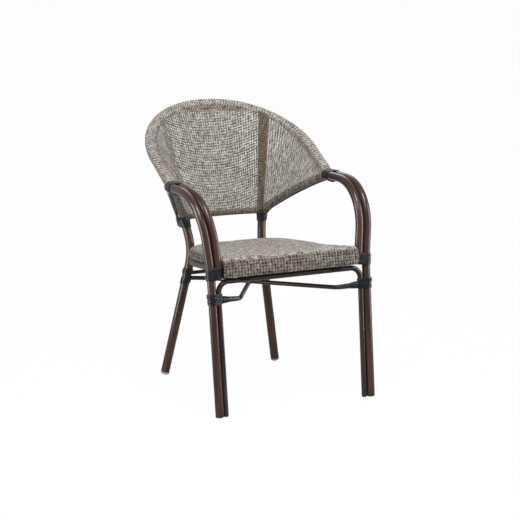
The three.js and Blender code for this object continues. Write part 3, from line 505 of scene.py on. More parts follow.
def tube_finish(name, deep, pale, roughness):
    """Lacquered tube with a fine lengthwise grain."""
    finish = Finish(name)
    across, over, run = finish.parts(finish.attribute("grain"))
    fibres = finish.clouds(across * 420, over * 420, run * 7, 4.0, 0.6)
    drift = finish.clouds(across * 60, over * 60, run * 5, 2.0)
    shade = finish.step(fibres * 0.7 + drift * 0.5, 0.42, 0.8)
    return finish.surface(
        base_color=finish.mix(shade, linear(deep), linear(pale)),
        roughness=roughness + 0.16 * drift,
        specular_ior_level=0.1,
        coat_weight=0.16 + 0.12 * drift,
        coat_roughness=0.14,
        normal=finish.bump(fibres, 0.0002, 0.35),
    )


def strip_finish(name, colour):
    """Flat blue-black plastic strip with lengthwise scoring and worn crowns; lift tints a turn brown."""
    finish = Finish(name)
    along, across, lift = finish.parts(finish.attribute("strip"))
    scoring = finish.clouds(along * 30, across * 1600, lift * 10, 3.0)
    blotch = finish.clouds(along * 90, across * 90, lift * 90, 2.0)
    worn = finish.step(scoring * 0.5 + blotch * 0.6, 0.55, 0.85)
    black = finish.mix(worn, linear(colour), linear((45, 47, 58)))
    return finish.surface(
        base_color=finish.mix(finish.step(lift, 0.4, 0.6), black, linear((56, 41, 36))),
        roughness=0.22 + 0.22 * blotch,
        specular_ior_level=0.18,
        normal=finish.bump(scoring, 0.0003, 0.4),
    )


def back_mesh_finish(colours):
    """Woven mesh: bright and dark dots on a square grid, with darker bands where it lies on the tubes, a
    painted shadow just inside the hoop, and painted shade on the wings, darkest on the left.
    """
    finish = Finish("back_mesh_weave")
    around, down, _ = finish.parts(finish.node("ShaderNodeUVMap", {"uv_map": "weave"}))
    from_rim, from_hem, from_upright = finish.parts(finish.attribute("zones"))
    rightness, _, _ = finish.parts(finish.place())
    patches = finish.clouds(around * 45, down * 45, 0.0, 2.0)
    drift = 0.004 * finish.clouds(around * 40, down * 40, 5.0, 2.0)
    dots = 0.5 * (finish.wave(around + drift, BACK_DOTS) + finish.wave(down + drift, BACK_ROWS))
    yarn = finish.yarn(around, down, BACK_YARN) - 0.5
    tone = 0.5 + dots * (0.16 + 0.62 * patches) + 0.72 * yarn
    dashes = finish.wave(around * 0.84 + down * 0.54, BAND_DASHES)
    dashes = dashes * finish.step(finish.wave(down, BAND_ROWS), -0.9, 0.5)
    band_tone = 0.5 + dashes * (0.16 + 0.6 * patches) + 0.7 * yarn
    cloth = finish.three_tones(tone, (66, 62, 58), colours.mesh, colours.mesh_light)
    warm = finish.three_tones(band_tone, (64, 58, 53), (146, 138, 130), (206, 199, 191))
    brown = finish.three_tones(band_tone, (44, 37, 31), (88, 78, 66), (132, 119, 102))
    wing = finish.step(from_upright, 0.05, 0.11)
    banded = finish.mix(finish.step(from_rim, 0.006, 0.003), cloth, warm)
    banded = finish.mix(wing * (0.25 + 0.4 * finish.step(from_rim, 0.05, 0.02)), banded, warm)
    # Painted light and shade differ left and right: on the left the hoop's painted shadow is fainter and the
    # wing is painted darker.
    left = finish.step(rightness, -0.05, -0.10)
    line_end = 0.012 + 0.010 * wing
    shadow = finish.step(from_rim, 0.002, 0.006) * finish.step(from_rim - line_end, 0.003, -0.003)
    shadow = shadow * (0.62 - 0.3 * left * wing)
    upright = finish.step(from_upright, 0.021, 0.014) * finish.step(from_rim, -0.004, 0.002)
    # The left upright's band is painted fainter, because that side catches more light.
    upright = upright * (1 - 0.6 * left)
    hem = finish.step(from_hem, 0.006, 0.003) * 0.8
    # Painted shade: the wings darken towards brown away from the hoop, and the left wing darkens more.
    wing_shade = wing * (0.11 * finish.step(from_rim, 0.004, 0.010) + 0.14 * left)
    return finish.surface(
        base_color=finish.mix(finish.most(shadow, upright, hem, wing_shade), banded, brown),
        roughness=0.75,
        specular_ior_level=0.2,
        normal=finish.bump(tone, 0.0012, 0.6),
    )


def seat_fabric_finish(colours):
    """The same yarn on the seat: dark dots in columns on the front and sides, cross streaks on the top; the
    front and sides take darker tones than the top, partly as painted shade.
    """
    finish = Finish("seat_fabric_weave")
    across, depth, side = finish.parts(finish.attribute("drape"))
    around, drop, _ = finish.parts(finish.attribute("wrap"))
    streaks = finish.step(finish.clouds(across * 55, depth * 210, 0.0, 2.0), 0.3, 0.7) - 0.5
    top_yarn = finish.yarn(across, depth, TOP_YARN) - 0.5
    top_tone = 0.53 + 0.72 * streaks + 0.75 * top_yarn + 0.16 * finish.wave(across, SEAT_COLUMNS)
    patches = finish.clouds(around * 120, drop * 90, 0.0, 2.0)
    column = finish.threads(around, SEAT_COLUMNS)
    runs = finish.clouds(column * finish.thread_stride, drop * 90, 2.0, 1.0)
    runs = finish.step(runs, 0.3, 0.7) - 0.5
    drift = 0.004 * finish.clouds(around * 50, drop * 50, 5.0, 2.0)
    columns, rows = finish.wave(around + drift, SEAT_COLUMNS), finish.wave(drop + drift, SEAT_ROWS)
    dots = 0.5 * (1.15 * columns + 0.85 * rows)
    face_yarn = finish.yarn(around, drop, SEAT_YARN) - 0.5
    face_tone = 0.43 + dots * (0.02 + 0.62 * patches) + 0.36 * runs + 0.6 * face_yarn
    tone = top_tone + side * (face_tone - top_tone)
    # Painted shade in part: the front and sides take darker tones than the top, besides their dark dots.
    top = finish.three_tones(top_tone, (78, 73, 69), (146, 140, 134), (194, 188, 182))
    face = finish.three_tones(face_tone, (38, 34, 31), colours.seat, (156, 148, 139))
    return finish.surface(
        base_color=finish.mix(side, top, face),
        roughness=0.8,
        specular_ior_level=0.2,
        normal=finish.bump(tone, 0.0012, 0.6),
    )


def plain_finish(name, colour, roughness, mottle, scale, gloss=0.3):
    """A moulded or coated surface, mottled a little in colour and gloss."""
    finish = Finish(name)
    place = finish.place()
    grain = finish.noise(place, scale, 3.0)
    cloud = finish.noise(place, scale / 12, 2.0)
    shade = linear(colour)
    dark = tuple(c * (1 - mottle) for c in shade[:3]) + (1.0,)
    light = tuple(min(1, c * (1 + mottle)) for c in shade[:3]) + (1.0,)
    return finish.surface(
        base_color=finish.mix(0.5 * grain + 0.5 * cloud, dark, light),
        roughness=roughness + 0.15 * (cloud - 0.5),
        specular_ior_level=gloss,
        normal=finish.bump(grain, 0.0002, 0.5),
    )


def stay_finish():
    """Dark coated rod with a bare bright end under the arm."""
    finish = Finish("stay_rod_grey")
    across, over, run = finish.parts(finish.attribute("grain"))
    grain = finish.clouds(across * 300, over * 300, run * 300, 3.0)
    bare = finish.step(run, 0.013, 0.011)
    coated = finish.mix(grain, linear((34, 34, 38)), linear((58, 59, 64)))
    return finish.surface(
        base_color=finish.mix(bare, coated, linear((168, 168, 170))),
        roughness=0.3 + 0.15 * grain,
        metallic=0.85 * bare,
        specular_ior_level=0.3,
        normal=finish.bump(grain, 0.0001, 0.4),
    )


def plywood_finish():
    finish = Finish("seat_board_plywood")
    x, y, z = finish.parts(finish.place())
    figure = finish.clouds(x * 3, y * 34, z * 3, 4.0, 0.6)
    pores = finish.clouds(x * 60, y * 900, z * 60, 2.0)
    tone = finish.step(figure * 0.75 + pores * 0.3, 0.35, 0.72)
    return finish.surface(
        base_color=finish.mix(tone, linear((142, 106, 68)), linear((196, 163, 118))),
        roughness=0.7 + 0.1 * pores,
        normal=finish.bump(pores, 0.0002, 0.5),
    )


FINISHES = {}


def finish_called(name):
    """Each finish is made once, when a piece first asks for it."""
    if name not in FINISHES:
        colours = bpy.context.scene.armchair_colours
        makers = {
            "brown_tube": lambda: tube_finish("brown_tube", colours.tube_deep, colours.tube_pale, 0.26),
            "dark_tube": lambda: tube_finish("dark_tube", (25, 20, 19), (56, 46, 41), 0.3),
            "binding": lambda: strip_finish("binding_strip_black", colours.binding),
            "back_mesh": lambda: back_mesh_finish(colours),
            "seat_fabric": lambda: seat_fabric_finish(colours),
            "seat_band": lambda: plain_finish("seat_band_taupe", (87, 79, 74), 0.62, 0.10, 700, 0.2),
            "stay": stay_finish,
            "board": plywood_finish,
            "rubber": lambda: plain_finish("saddle_rubber_black", (16, 14, 14), 0.85, 0.2, 500, 0.08),
            "pale_glide": lambda: plain_finish("pale_glide_plastic", (188, 186, 180), 0.45, 0.08, 300),
            "dark_glide": lambda: plain_finish("dark_glide_plastic", (44, 42, 42), 0.5, 0.2, 300),
        }
        FINISHES[name] = makers[name]()
    return FINISHES[name]


# Sizes and colours that a user may change


class ArmchairSizes(bpy.types.PropertyGroup):
    arm_tube: bpy.props.FloatProperty(
        name="Arm tube", description="Diameter of the front leg and arm tubes",
        subtype="DISTANCE", default=0.025, min=0.015)
    rear_tube: bpy.props.FloatProperty(
        name="Rear tube", description="Diameter of the rear legs and the hoop",
        subtype="DISTANCE", default=0.027, min=0.015)
    lower_tube: bpy.props.FloatProperty(
        name="Lower tube", description="Diameter of the rail and wings",
        subtype="DISTANCE", default=0.02, min=0.01)
    arch_tube: bpy.props.FloatProperty(
        name="Arch tube", description="Diameter of the front arch",
        subtype="DISTANCE", default=0.016, min=0.008)
    brace_tube: bpy.props.FloatProperty(
        name="Brace tube", description="Diameter of the crossed braces",
        subtype="DISTANCE", default=0.014, min=0.008)
    fabric: bpy.props.FloatProperty(
        name="Fabric", description="Thickness of the back's mesh",
        subtype="DISTANCE", default=0.0015, min=0.0005)
    cushion_swell: bpy.props.FloatProperty(
        name="Cushion swell", description="Most that the seat's padding may swell",
        subtype="DISTANCE", default=0.005, min=0)


class ArmchairColours(bpy.types.PropertyGroup):
    tube_deep: bpy.props.FloatVectorProperty(
        name="Tube, deep", description="Darker colour of the tube's grain", subtype="COLOR_GAMMA",
        default=(0.155, 0.10, 0.08), min=0, max=1)
    tube_pale: bpy.props.FloatVectorProperty(
        name="Tube, pale", description="Paler colour of the tube's grain", subtype="COLOR_GAMMA",
        default=(0.32, 0.215, 0.17), min=0, max=1)
    binding: bpy.props.FloatVectorProperty(
        name="Binding", description="Colour of the wound strip", subtype="COLOR_GAMMA",
        default=(0.054, 0.058, 0.080), min=0, max=1)
    mesh: bpy.props.FloatVectorProperty(
        name="Back mesh", description="Colour of the back's yarn", subtype="COLOR_GAMMA",
        default=(0.56, 0.545, 0.525), min=0, max=1)
    mesh_light: bpy.props.FloatVectorProperty(
        name="Back mesh, light", description="Colour of the back's pale crossings", subtype="COLOR_GAMMA",
        default=(0.84, 0.83, 0.81), min=0, max=1)
    # The middle tone of the seat's front and sides, darker than the top's partly as painted shade.
    seat: bpy.props.FloatVectorProperty(
        name="Seat fabric", description="Colour of the seat's yarn", subtype="COLOR_GAMMA",
        default=(0.43, 0.405, 0.375), min=0, max=1)


# Windings


def outline_round(circles, samples):
    """Even points round the line drawn tight about some circles, with the way out at each."""
    angles = np.linspace(0, 2 * math.pi, 121)
    ways = np.stack([np.cos(angles), np.sin(angles)], axis=1)
    centres = np.array([c[:2] for c in circles])
    radii = np.array([c[2] for c in circles])
    best = (ways @ centres.T + radii).argmax(1)
    corners = centres[best] + ways * radii[best, None]
    run = lengths_along(corners)
    wanted = np.linspace(0, run[-1], samples + 1)[:-1]
    points = np.stack([np.interp(wanted, run, corners[:, k]) for k in range(2)], axis=1)
    turn = np.interp(wanted, run + np.arange(len(run)) * 1e-9, angles)
    return points, np.stack([np.cos(turn), np.sin(turn)], axis=1)


STRIP_PROFILE = np.array([
    (-0.5, 0), (-0.5, 0.42), (-0.44, 0.74), (-0.31, 0.93), (0, 1),
    (0.31, 0.93), (0.44, 0.74), (0.5, 0.42), (0.5, 0),
])
UPRIGHT = np.eye(4)
ALONG_ARM = np.array([[0, 1, 0, 0], [0, 0, 1, 0], [1, 0, 0, 0], [0, 0, 0, 1.0]])


class Winding:
    """Strips wound round a bundle of tubes, gathered into one mesh. Its axis is its own z."""

    samples = 64
    strap_shift = 2.7
    strap_thickness = 1.4
    core_lift = 0.25

    def __init__(self, circles_at):
        self.circles_at = circles_at
        self.points, self.faces, self.marks = [], [], []

    def add_grid(self, rows, marks, closed_rows, closed_columns):
        start = sum(len(p) for p in self.points)
        count, width = rows.shape[:2]
        for i in range(count if closed_rows else count - 1):
            for j in range(width if closed_columns else width - 1):
                a, b = start + i * width + j, start + i * width + (j + 1) % width
                shift = ((i + 1) % count - i) * width
                self.faces.append((a, a + shift, b + shift, b))
        if closed_columns and not closed_rows:
            self.faces.append(tuple(range(start, start + width)))
            self.faces.append(tuple(range(start + (count - 1) * width, start + count * width))[::-1])
        self.points.append(rows.reshape(-1, 3))
        self.marks.append(marks.reshape(-1, 3))

    def add_strip(
        self, levels, width, thickness, lift=0.0, lean=0.0, way_up=0.0, spread=0.0, tint=0.0, closed=False,
    ):
        """levels holds the strip's middle, samples steps a turn; it leans up, and spreads, to one side."""
        path, out, swell = [], [], []
        for k, level in enumerate(levels):
            _, ways = outline_round(self.circles_at(level), self.samples)
            across, over = ways[k % self.samples]
            towards = math.cos(math.atan2(over, across) - way_up)
            level += np.broadcast_to(lean, len(levels))[k] * towards
            points, ways = outline_round(self.circles_at(level), self.samples)
            point, way = points[k % self.samples], ways[k % self.samples]
            path.append((*(point + way * lift), level))
            out.append((*way, 0))
            swell.append(1 + spread * towards)
        path, out = np.array(path), np.array(out)
        if closed:
            tangents = unit(np.roll(path, -1, 0) - np.roll(path, 1, 0))
        else:
            tangents = unit(np.gradient(path, axis=0))
        widths = unit(np.cross(out, tangents)) * np.array(swell)[:, None]
        profile = STRIP_PROFILE * (width, thickness)
        rows = path[:, None] + profile[None, :, :1] * widths[:, None] + profile[None, :, 1:] * out[:, None]
        marks = np.zeros(rows.shape)
        marks[..., 0] = lengths_along(path)[:, None] * MM
        marks[..., 1:] = profile * MM + (0, tint)
        self.add_grid(rows, marks, closed, True)

    def add_turns(self, bottom, top, pitch, gap, thickness):
        """One strip from bottom to top at an even pitch."""
        width = pitch - gap
        turns = (top - bottom - width) / pitch
        count = round(turns * self.samples)
        self.add_strip(bottom + width / 2 + np.arange(count + 1) * pitch / self.samples, width, thickness)

    def add_straps(self, middle, width, lean, way_up, lifts, rise):
        """Two straps side by side that lean one way, and two more over them that lean the other way."""
        for shift, lift in zip((-self.strap_shift, self.strap_shift), lifts):
            levels = np.full(self.samples, middle + shift)
            self.add_strip(levels, width, self.strap_thickness, lift, lean, way_up, closed=True)
            self.add_strip(levels, width, self.strap_thickness, lift + rise, -lean, way_up, closed=True)

    def add_core(self, bottom, top):
        """The dark layer under the strips, which closes the gaps between them."""
        levels = np.linspace(bottom, top, max(4, round((top - bottom) / 3)))
        rings = []
        for level in levels:
            points, ways = outline_round(self.circles_at(level), self.samples)
            rings.append(np.column_stack([points + ways * self.core_lift, np.full(self.samples, level)]))
        rows = np.array(rings)
        self.add_grid(rows, rows * MM, False, True)

    def made(self, name, to_world):
        points = np.vstack(self.points) @ to_world[:3, :3].T + to_world[:3, 3]
        obj = mesh_object(name, placed(points), self.faces)
        write_vectors(obj, "strip", np.vstack(self.marks))
        return tidied(obj, smooth_angle=50, merge=False)


def share_between(value, low, high):
    return min(max((value - low) / (high - low), 0), 1)


def circle_round(line, axis, diameter, level):
    """The circle that a tube makes at a level of z or y, in the winding's own x and y."""
    point = at_level(line, axis, level)
    tangent = unit(at_level(line, axis, level + 2) - at_level(line, axis, level - 2))
    radius = diameter / 2 / abs(tangent[axis]) + CLEARANCE
    return (point[X], point[Y], radius) if axis == Z else (point[Z], point[X], radius)


def stay_tail(sizes, level):
    """The middle of the stay where it runs down the outer side of the rear tube."""
    x, y, radius = circle_round(REAR_LINE, Z, sizes.rear_tube, level)
    return np.array([x, y]) + (radius + STAY_DIAMETER / 2 + 0.4) * unit(np.array([0.86, 0.51]))


def arm_binding(sizes):
    bottom, top, lead = 256, 289, 20
    first_half = RIM_LINE[:len(RIM_LINE) // 2]
    hoop = np.vstack([first_half[0] - unit(first_half[1] - first_half[0]) * lead, first_half])

    def circles(level):
        z, x, radius = circle_round(ARM_LINE, Y, sizes.arm_tube, min(level, ARM_END))
        hoop_circle = circle_round(hoop, Y, sizes.rear_tube, max(level, ARM_END))
        return [(z, x, radius), (z, x - TUBE_PAIR_PITCH, radius), hoop_circle]

    winding = Winding(circles)
    winding.add_core(bottom + 0.5, top - 0.5)
    winding.add_turns(bottom, top, pitch=4.7, gap=0.35, thickness=1.9)
    return winding.made("arm_binding", ALONG_ARM)


def upright_binding(sizes):
    """Winds the rear tube and, higher up, the tail of the stay beside it."""
    bottom, top = 465.5, 495.5

    def circles(level):
        x, y, radius = circle_round(REAR_LINE, Z, sizes.rear_tube, level)
        share = share_between(level, bottom, top)
        tail = stay_tail(sizes, max(level, STAY_TAIL_END))
        sunk = 1 - share_between(level, STAY_TAIL_END - 6, STAY_TAIL_END)
        tail = tail + sunk * (np.array([x, y]) - tail) * 0.4
        return [(x, y, radius + 2.5 * share**2), (*tail, STAY_DIAMETER / 2 + CLEARANCE)]

    winding = Winding(circles)
    winding.add_core(bottom + 0.4, top - 0.4)
    winding.add_turns(bottom, top, pitch=4.9, gap=0.35, thickness=1.9)
    return winding.made("upright_binding", UPRIGHT)


def seat_binding(sizes):
    """Turns that fan out from the leg's outer side and climb over the inner tube, the last one brown."""
    bottom, top, rise, turns = 393.5, 434.0, 8.5, 7
    single_top = bottom + 11.2

    def circles(level):
        x, y, radius = circle_round(ARM_LINE, Z, sizes.arm_tube, level)
        share = share_between(level, bottom, single_top)
        return [(x, y, radius), (x - TUBE_PAIR_PITCH * share, y, radius)]

    winding = Winding(circles)
    winding.add_core(bottom + 0.5, top - rise - 0.5)
    width = (top - bottom) / turns + 0.5
    brown_start = (turns - 2) * winding.samples
    share = (np.arange(brown_start + winding.samples + 1) / winding.samples + 0.5) / turns
    levels = bottom + share * (top - bottom)
    for part, tint in ((slice(0, brown_start + 1), 0.0), (slice(brown_start, None), 1.0)):
        winding.add_strip(
            levels[part], width, 2.1, lift=0.1, lean=rise * share[part], way_up=math.pi,
            spread=rise / (top - bottom), tint=tint)
    return winding.made("seat_binding", UPRIGHT)


def brace_binding(sizes):
    """Turns above and below the brace, and straps that cross between them."""
    bottom, lower_top, upper_bottom, top = 325, 331.4, 346.6, 357
    turns = {"pitch": 5.3, "gap": 0.3, "thickness": 1.6}

    def circles(level):
        leg = circle_round(ARM_LINE, Z, sizes.arm_tube, level)
        return [leg, circle_round(ARCH_LEG, Z, sizes.arch_tube, level)]

    brace_way = math.atan2(*(BRACE_BEND - BRACE_START)[[Y, X]])
    winding = Winding(circles)
    winding.add_core(bottom + 0.5, top - 0.5)
    winding.add_turns(bottom, lower_top, **turns)
    winding.add_turns(upper_bottom, top, **turns)
    winding.add_straps(340, 5.0, 10.0, brace_way, lifts=(0.7, 0.9), rise=1.2)
    return winding.made("brace_binding", UPRIGHT)


def rear_binding(sizes):
    """Turns above and below the brace's rear end, and straps that cross over it."""
    bottom, lower_top, upper_bottom, top = 291.4, 303.2, 331.0, 342.6
    turns = {"pitch": 5.6, "gap": 0.4, "thickness": 1.5}
    winding = Winding(lambda level: [circle_round(REAR_LINE, Z, sizes.rear_tube, level)])
    winding.add_core(bottom + 0.6, top - 0.6)
    winding.add_turns(bottom, lower_top, **turns)
    winding.add_turns(upper_bottom, top, **turns)
    winding.add_straps(317, 5.2, 17.0, math.pi, lifts=(0.5, 0.5), rise=1.0)
    return winding.made("rear_binding", UPRIGHT)


def brace_collar(sizes):
    """The wound collar over the front end of a brace, in its own axes along the brace."""
    length, start = 22.0, 10.9
    wide, narrow = sizes.brace_tube / 2 + 2.9, sizes.brace_tube / 2 + 0.8

    def circles(level):
        return [(0.0, 0.0, wide + (narrow - wide) * share_between(level, 0, length))]

    axis = unit(BRACE_BEND - BRACE_START)
    side = unit(np.cross(axis, (0, 0, 1)))
    to_world = np.eye(4)
    to_world[:3] = np.column_stack([np.cross(side, axis), side, axis, BRACE_START + axis * start])
    winding = Winding(circles)
    winding.add_core(0.3, length - 0.3)
    winding.add_turns(0.0, length, pitch=4.5, gap=0.35, thickness=1.3)
    return winding.made("brace_collar", to_world)


# Back cover


def cover_stations():
    """Points of the hoop and of the lower tubes that face each other, from the right end to the left."""
    wing = np.linspace(0.004, 1, WING_STATIONS)
    rail = np.linspace(0, 1, RAIL_STATIONS)[1:]
    rim = np.concatenate([wing * UPRIGHT_SHARE, UPRIGHT_SHARE + rail * (1 - UPRIGHT_SHARE)])
    top = at_shares(RIM_LINE, rim / 2)
    bottom = np.vstack([at_shares(WING_LINE, wing), at_shares(RAIL_LINE, rail / 2)])
    wingness = np.concatenate([1 - wing, 0 * rail])
    return (
        np.vstack([top, flipped(top[:-1][::-1])]),
        np.vstack([bottom, flipped(bottom[:-1][::-1])]),
        np.concatenate([wingness, wingness[:-1][::-1]]),
    )


def lower_tangent(bottom):
    """The way along the lower tubes, softened where the wing meets the rail."""
    values = np.gradient(bottom, axis=0)
    for _ in range(3):
        values = np.vstack([values[:1], (values[:-2] + 2 * values[1:-1] + values[2:]) / 4, values[-1:]])
    return unit(values)


def lower_diameter(sizes, wingness):
    """The cover's lower edge thickens to the hoop's diameter at the front ends of the wings."""
    thickens_from = 0.93
    share = np.clip((wingness - thickens_from) / (1 - thickens_from), 0, 1)
    return sizes.lower_tube + (sizes.rear_tube - sizes.lower_tube) * share


def across_cloth(ruling, tangent):
    """Two ways square to a tube: up along the cloth, and into the tub."""
    along = unit(ruling - np.sum(ruling * tangent, axis=1, keepdims=True) * tangent)
    return along, unit(np.cross(along, tangent))


def back_cover_mesh(sizes):
    """The bag's points by station and column, and how far each lies from the hoop, the hem and the uprights.

    The columns go over the hoop, down the outside, under the lower tube and up the inside.
    """
    top, bottom, wingness = cover_stations()
    panel = np.linalg.norm(top - bottom, axis=1)
    ruling = unit(top - bottom)
    up_along, up_in = across_cloth(ruling, unit(np.gradient(top, axis=0)))
    low_along, low_in = across_cloth(ruling, lower_tangent(bottom))
    upright_radius = sizes.rear_tube / 2 + COVER_ROOM + sizes.fabric
    up_radius = np.full((len(top), 1), upright_radius)
    low_radius = (lower_diameter(sizes, wingness) / 2 + COVER_ROOM + sizes.fabric)[:, None]
    edges = ((top, up_along, up_in, up_radius), (bottom, low_along, low_in, low_radius))

    columns, from_rim, from_hem, shares = [], [], [], []
    for share, (place, along, into, radius) in enumerate(edges):
        for i in range(ARC_STEPS):
            turn = math.pi * i / ARC_STEPS
            angle = turn + math.pi * share
            columns.append(place + into * radius * math.cos(angle) + along * radius * math.sin(angle))
            depth = -radius[:, 0] * min(turn, math.pi - turn)
            from_rim.append(panel if share else depth)
            from_hem.append(depth if share else panel)
            shares.append(share)
        side = 2 * share - 1
        start, end = top + side * up_in * up_radius, bottom + side * low_in * low_radius
        for i in range(PANEL_STEPS):
            t = abs(share - i / PANEL_STEPS)
            columns.append(start + (end - start) * t)
            from_rim.append(panel * t)
            from_hem.append(panel * (1 - t))
            shares.append(t)
    grid = np.stack(columns, axis=1)

    share = np.array(shares)[None, :, None]
    middles = top[:, None] * (1 - share) + bottom[:, None] * share
    axis = unit(UPRIGHT_TOP - UPRIGHT_FOOT)
    aside = []
    for foot, way in ((UPRIGHT_FOOT, axis), (flipped(UPRIGHT_FOOT), flipped(axis))):
        off = middles - foot
        aside.append(np.linalg.norm(off - (off @ way)[..., None] * way, axis=2))
    from_upright = np.minimum(*aside)

    # The uprights stand out under the cloth where they are thicker than the bag
    side = np.repeat([0, -1, 0, 1], [ARC_STEPS, PANEL_STEPS] * 2)
    normals = unit(up_in[:, None] * (1 - share) + low_in[:, None] * share)
    thickness = up_radius * (1 - share[..., 0]) + low_radius * share[..., 0]
    swell = np.clip(upright_radius - thickness, 0, None) * np.exp(-((from_upright / UPRIGHT_RELIEF) ** 2))
    grid = grid + normals * (swell * side)[..., None]

    # Cut off square behind the arm binding
    grid[..., Y] = np.maximum(grid[..., Y], COVER_FRONT)
    return grid, np.stack([np.stack(from_rim, 1), np.stack(from_hem, 1), from_upright], axis=-1)


def build_back_cover(sizes):
    grid, zones = back_cover_mesh(sizes)
    stations, around = grid.shape[:2]
    outside, inside = ARC_STEPS + PANEL_STEPS // 2, 3 * ARC_STEPS + PANEL_STEPS
    run = lengths_along((grid[:, outside] + grid[:, inside]) / 2)
    along = (run - run[-1] / 2) * MM
    steps = np.linalg.norm(np.diff(grid, axis=1, append=grid[:, :1]), axis=2)
    down = np.pad(np.cumsum(steps, axis=1), ((0, 0), (1, 0))) * MM
    faces, corners = [], []
    for s in range(stations - 1):
        for i in range(around):
            j = (i + 1) % around
            faces.append((s * around + i, s * around + j, (s + 1) * around + j, (s + 1) * around + i))
            corners += [(along[s], down[s, i]), (along[s], down[s, i + 1])]
            corners += [(along[s + 1], down[s + 1, i + 1]), (along[s + 1], down[s + 1, i])]
    obj = mesh_object("back_cover_mesh", placed(grid.reshape(-1, 3)), faces)
    write_vectors(obj, "zones", zones * MM)
    weave = obj.data.uv_layers.new(name="weave")
    weave.data.foreach_set("uv", np.array(corners).ravel())
    wall = obj.modifiers.new("fabric", "SOLIDIFY")
    wall.thickness = sizes.fabric * MM
    wall.offset = -1
    apply_modifiers(obj)
    return smoothed(obj, 50)


# Seat


def seat_level(setback):
    """The height of the seat's sloping underside."""
    return SEAT_BOTTOM - (setback - SEAT_FRONT) * math.tan(SEAT_SLOPE)


def on_seat(points):
    """Level seat drawings, underside at zero, laid on the sloping seat plane."""
    x, y, z = np.moveaxis(np.asarray(points, float), -1, 0)
    y = y - SEAT_FRONT
    return np.stack([
        x,
        y * math.cos(SEAT_SLOPE) + z * math.sin(SEAT_SLOPE) + SEAT_FRONT,
        z * math.cos(SEAT_SLOPE) - y * math.sin(SEAT_SLOPE) + SEAT_BOTTOM,
    ], axis=-1)


def seat_outline(spacing):
    front, waist, rear = 224.0, 190.0, 456.0
    t = np.linspace(0, 1, 60)[:, None]
    ear = bow(np.array([front, 50]), np.array([waist, 78]), np.array([waist, 156]), 30)
    shoulder = (
        (1 - t) ** 3 * (waist, 156.0) + 3 * t * (1 - t) ** 2 * (195.0, 435.0)
        + 3 * t**2 * (1 - t) * (160.0, rear) + t**3 * (0.0, rear)
    )
    right = np.vstack([[(0, SEAT_FRONT)], [(front, SEAT_FRONT)], ear, shoulder[1:]])
    whole = np.vstack([right, (right * (-1, 1))[::-1][1:]])
    count = round(lengths_along(whole)[-1] / spacing)
    return at_shares(whole, np.arange(count) / count)


def inset(outline, distance):
    spokes = outline - SEAT_MIDDLE
    spans = np.linalg.norm(spokes, axis=1, keepdims=True)
    return SEAT_MIDDLE + spokes * (1 - distance / spans)


def rounded_edge(outline, start, radius, low, high):
    """Rings that round off a slab's edge, from its underside to its top."""
    quarter = np.linspace(0, math.pi / 2, 7)
    near, far = radius * (1 - np.cos(quarter)), radius * (1 - np.sin(quarter))
    rings = [(inset(outline, start + aside), low + up) for aside, up in zip(far, near)]
    return rings + [(inset(outline, start + aside), high - down) for aside, down in zip(near, far)]


def skinned(name, rings, closed=False):
    """Rings of (outline, height) skinned over; the ends are capped unless the rings close on themselves."""
    count = len(rings[0][0])
    points = np.vstack([np.column_stack([edge, np.broadcast_to(height, count)]) for edge, height in rings])
    faces = []
    for r in range(len(rings) if closed else len(rings) - 1):
        low, high = r * count, ((r + 1) % len(rings)) * count
        for i in range(count):
            j = (i + 1) % count
            faces.append((low + i, low + j, high + j, high + i))
    if not closed:
        faces.append(tuple(range(count))[::-1])
        faces.append(tuple(range((len(rings) - 1) * count, len(rings) * count)))
    return mesh_object(name, placed(on_seat(points)), faces)


def skirt_block(height):
    """The part of the pad that hangs over the front of the base."""
    bpy.ops.object.select_all(action="DESELECT")
    bpy.ops.mesh.primitive_cube_add(size=1, location=(0, 0, 0))
    block = bpy.context.object
    block.data.transform(Matrix.Diagonal((SKIRT_WIDTH, SKIRT_DEPTH, height, 1)))
    block.data.transform(Matrix.Translation((0, SEAT_FRONT + SKIRT_DEPTH / 2, height / 2)))
    edges = block.modifiers.new("edges", "BEVEL")
    edges.width = 4
    edges.segments = 3
    apply_modifiers(block)
    set_coordinates(block, placed(on_seat(coordinates(block))))
    return block


def clear_of_arms(points):
    """Pushes points out of the room that the arm tubes and their bindings need."""
    room, lowest, highest = ROOM_ROUND_ARMS * MM, 360, 480
    for line in (ARM_LINE, INNER_ARM_LINE):
        for side in (line, flipped(line)):
            feet, _, _ = nearest_on_line(points, placed(between_levels(side, Z, lowest, highest)))
            out = points - feet
            gap = np.linalg.norm(out, axis=1, keepdims=True)
            points = np.where(gap < room, feet + out / np.maximum(gap, 1e-9) * room, points)
    return points


def puffed(obj, swell):
    """Blows the pad up with Cloth: no point moves further than swell, and the lower edge is held."""
    held, loosened, edge_freedom = 4, 22, 0.35
    start = coordinates(obj)
    cloth = obj.modifiers.new("padding", "CLOTH")
    cloth.settings.quality = 5
    cloth.settings.mass = 0.3
    cloth.settings.use_pressure = True
    cloth.settings.uniform_pressure_force = 4
    cloth.settings.effector_weights.gravity = 0
    cloth.point_cache.frame_start, cloth.point_cache.frame_end = 1, 20
    scene = bpy.context.scene
    for step in range(1, 21):
        scene.frame_set(step)
    evaluated = obj.evaluated_get(bpy.context.evaluated_depsgraph_get())
    move = coordinates(evaluated) - start
    obj.modifiers.remove(cloth)
    scene.frame_set(1)
    reach = np.linalg.norm(move, axis=1, keepdims=True)
    move *= np.minimum(1, swell / np.maximum(reach, 1e-9))
    level = drawn(start)
    above = level[:, Z] - seat_level(level[:, Y]) - BASE_THICKNESS
    free = np.clip((above - held) / loosened, 0, 1)
    move[:, Z] = np.clip(move[:, Z], 0, None) * free
    move[:, :Z] *= edge_freedom + (1 - edge_freedom) * free[:, None]
    set_coordinates(obj, start + move)


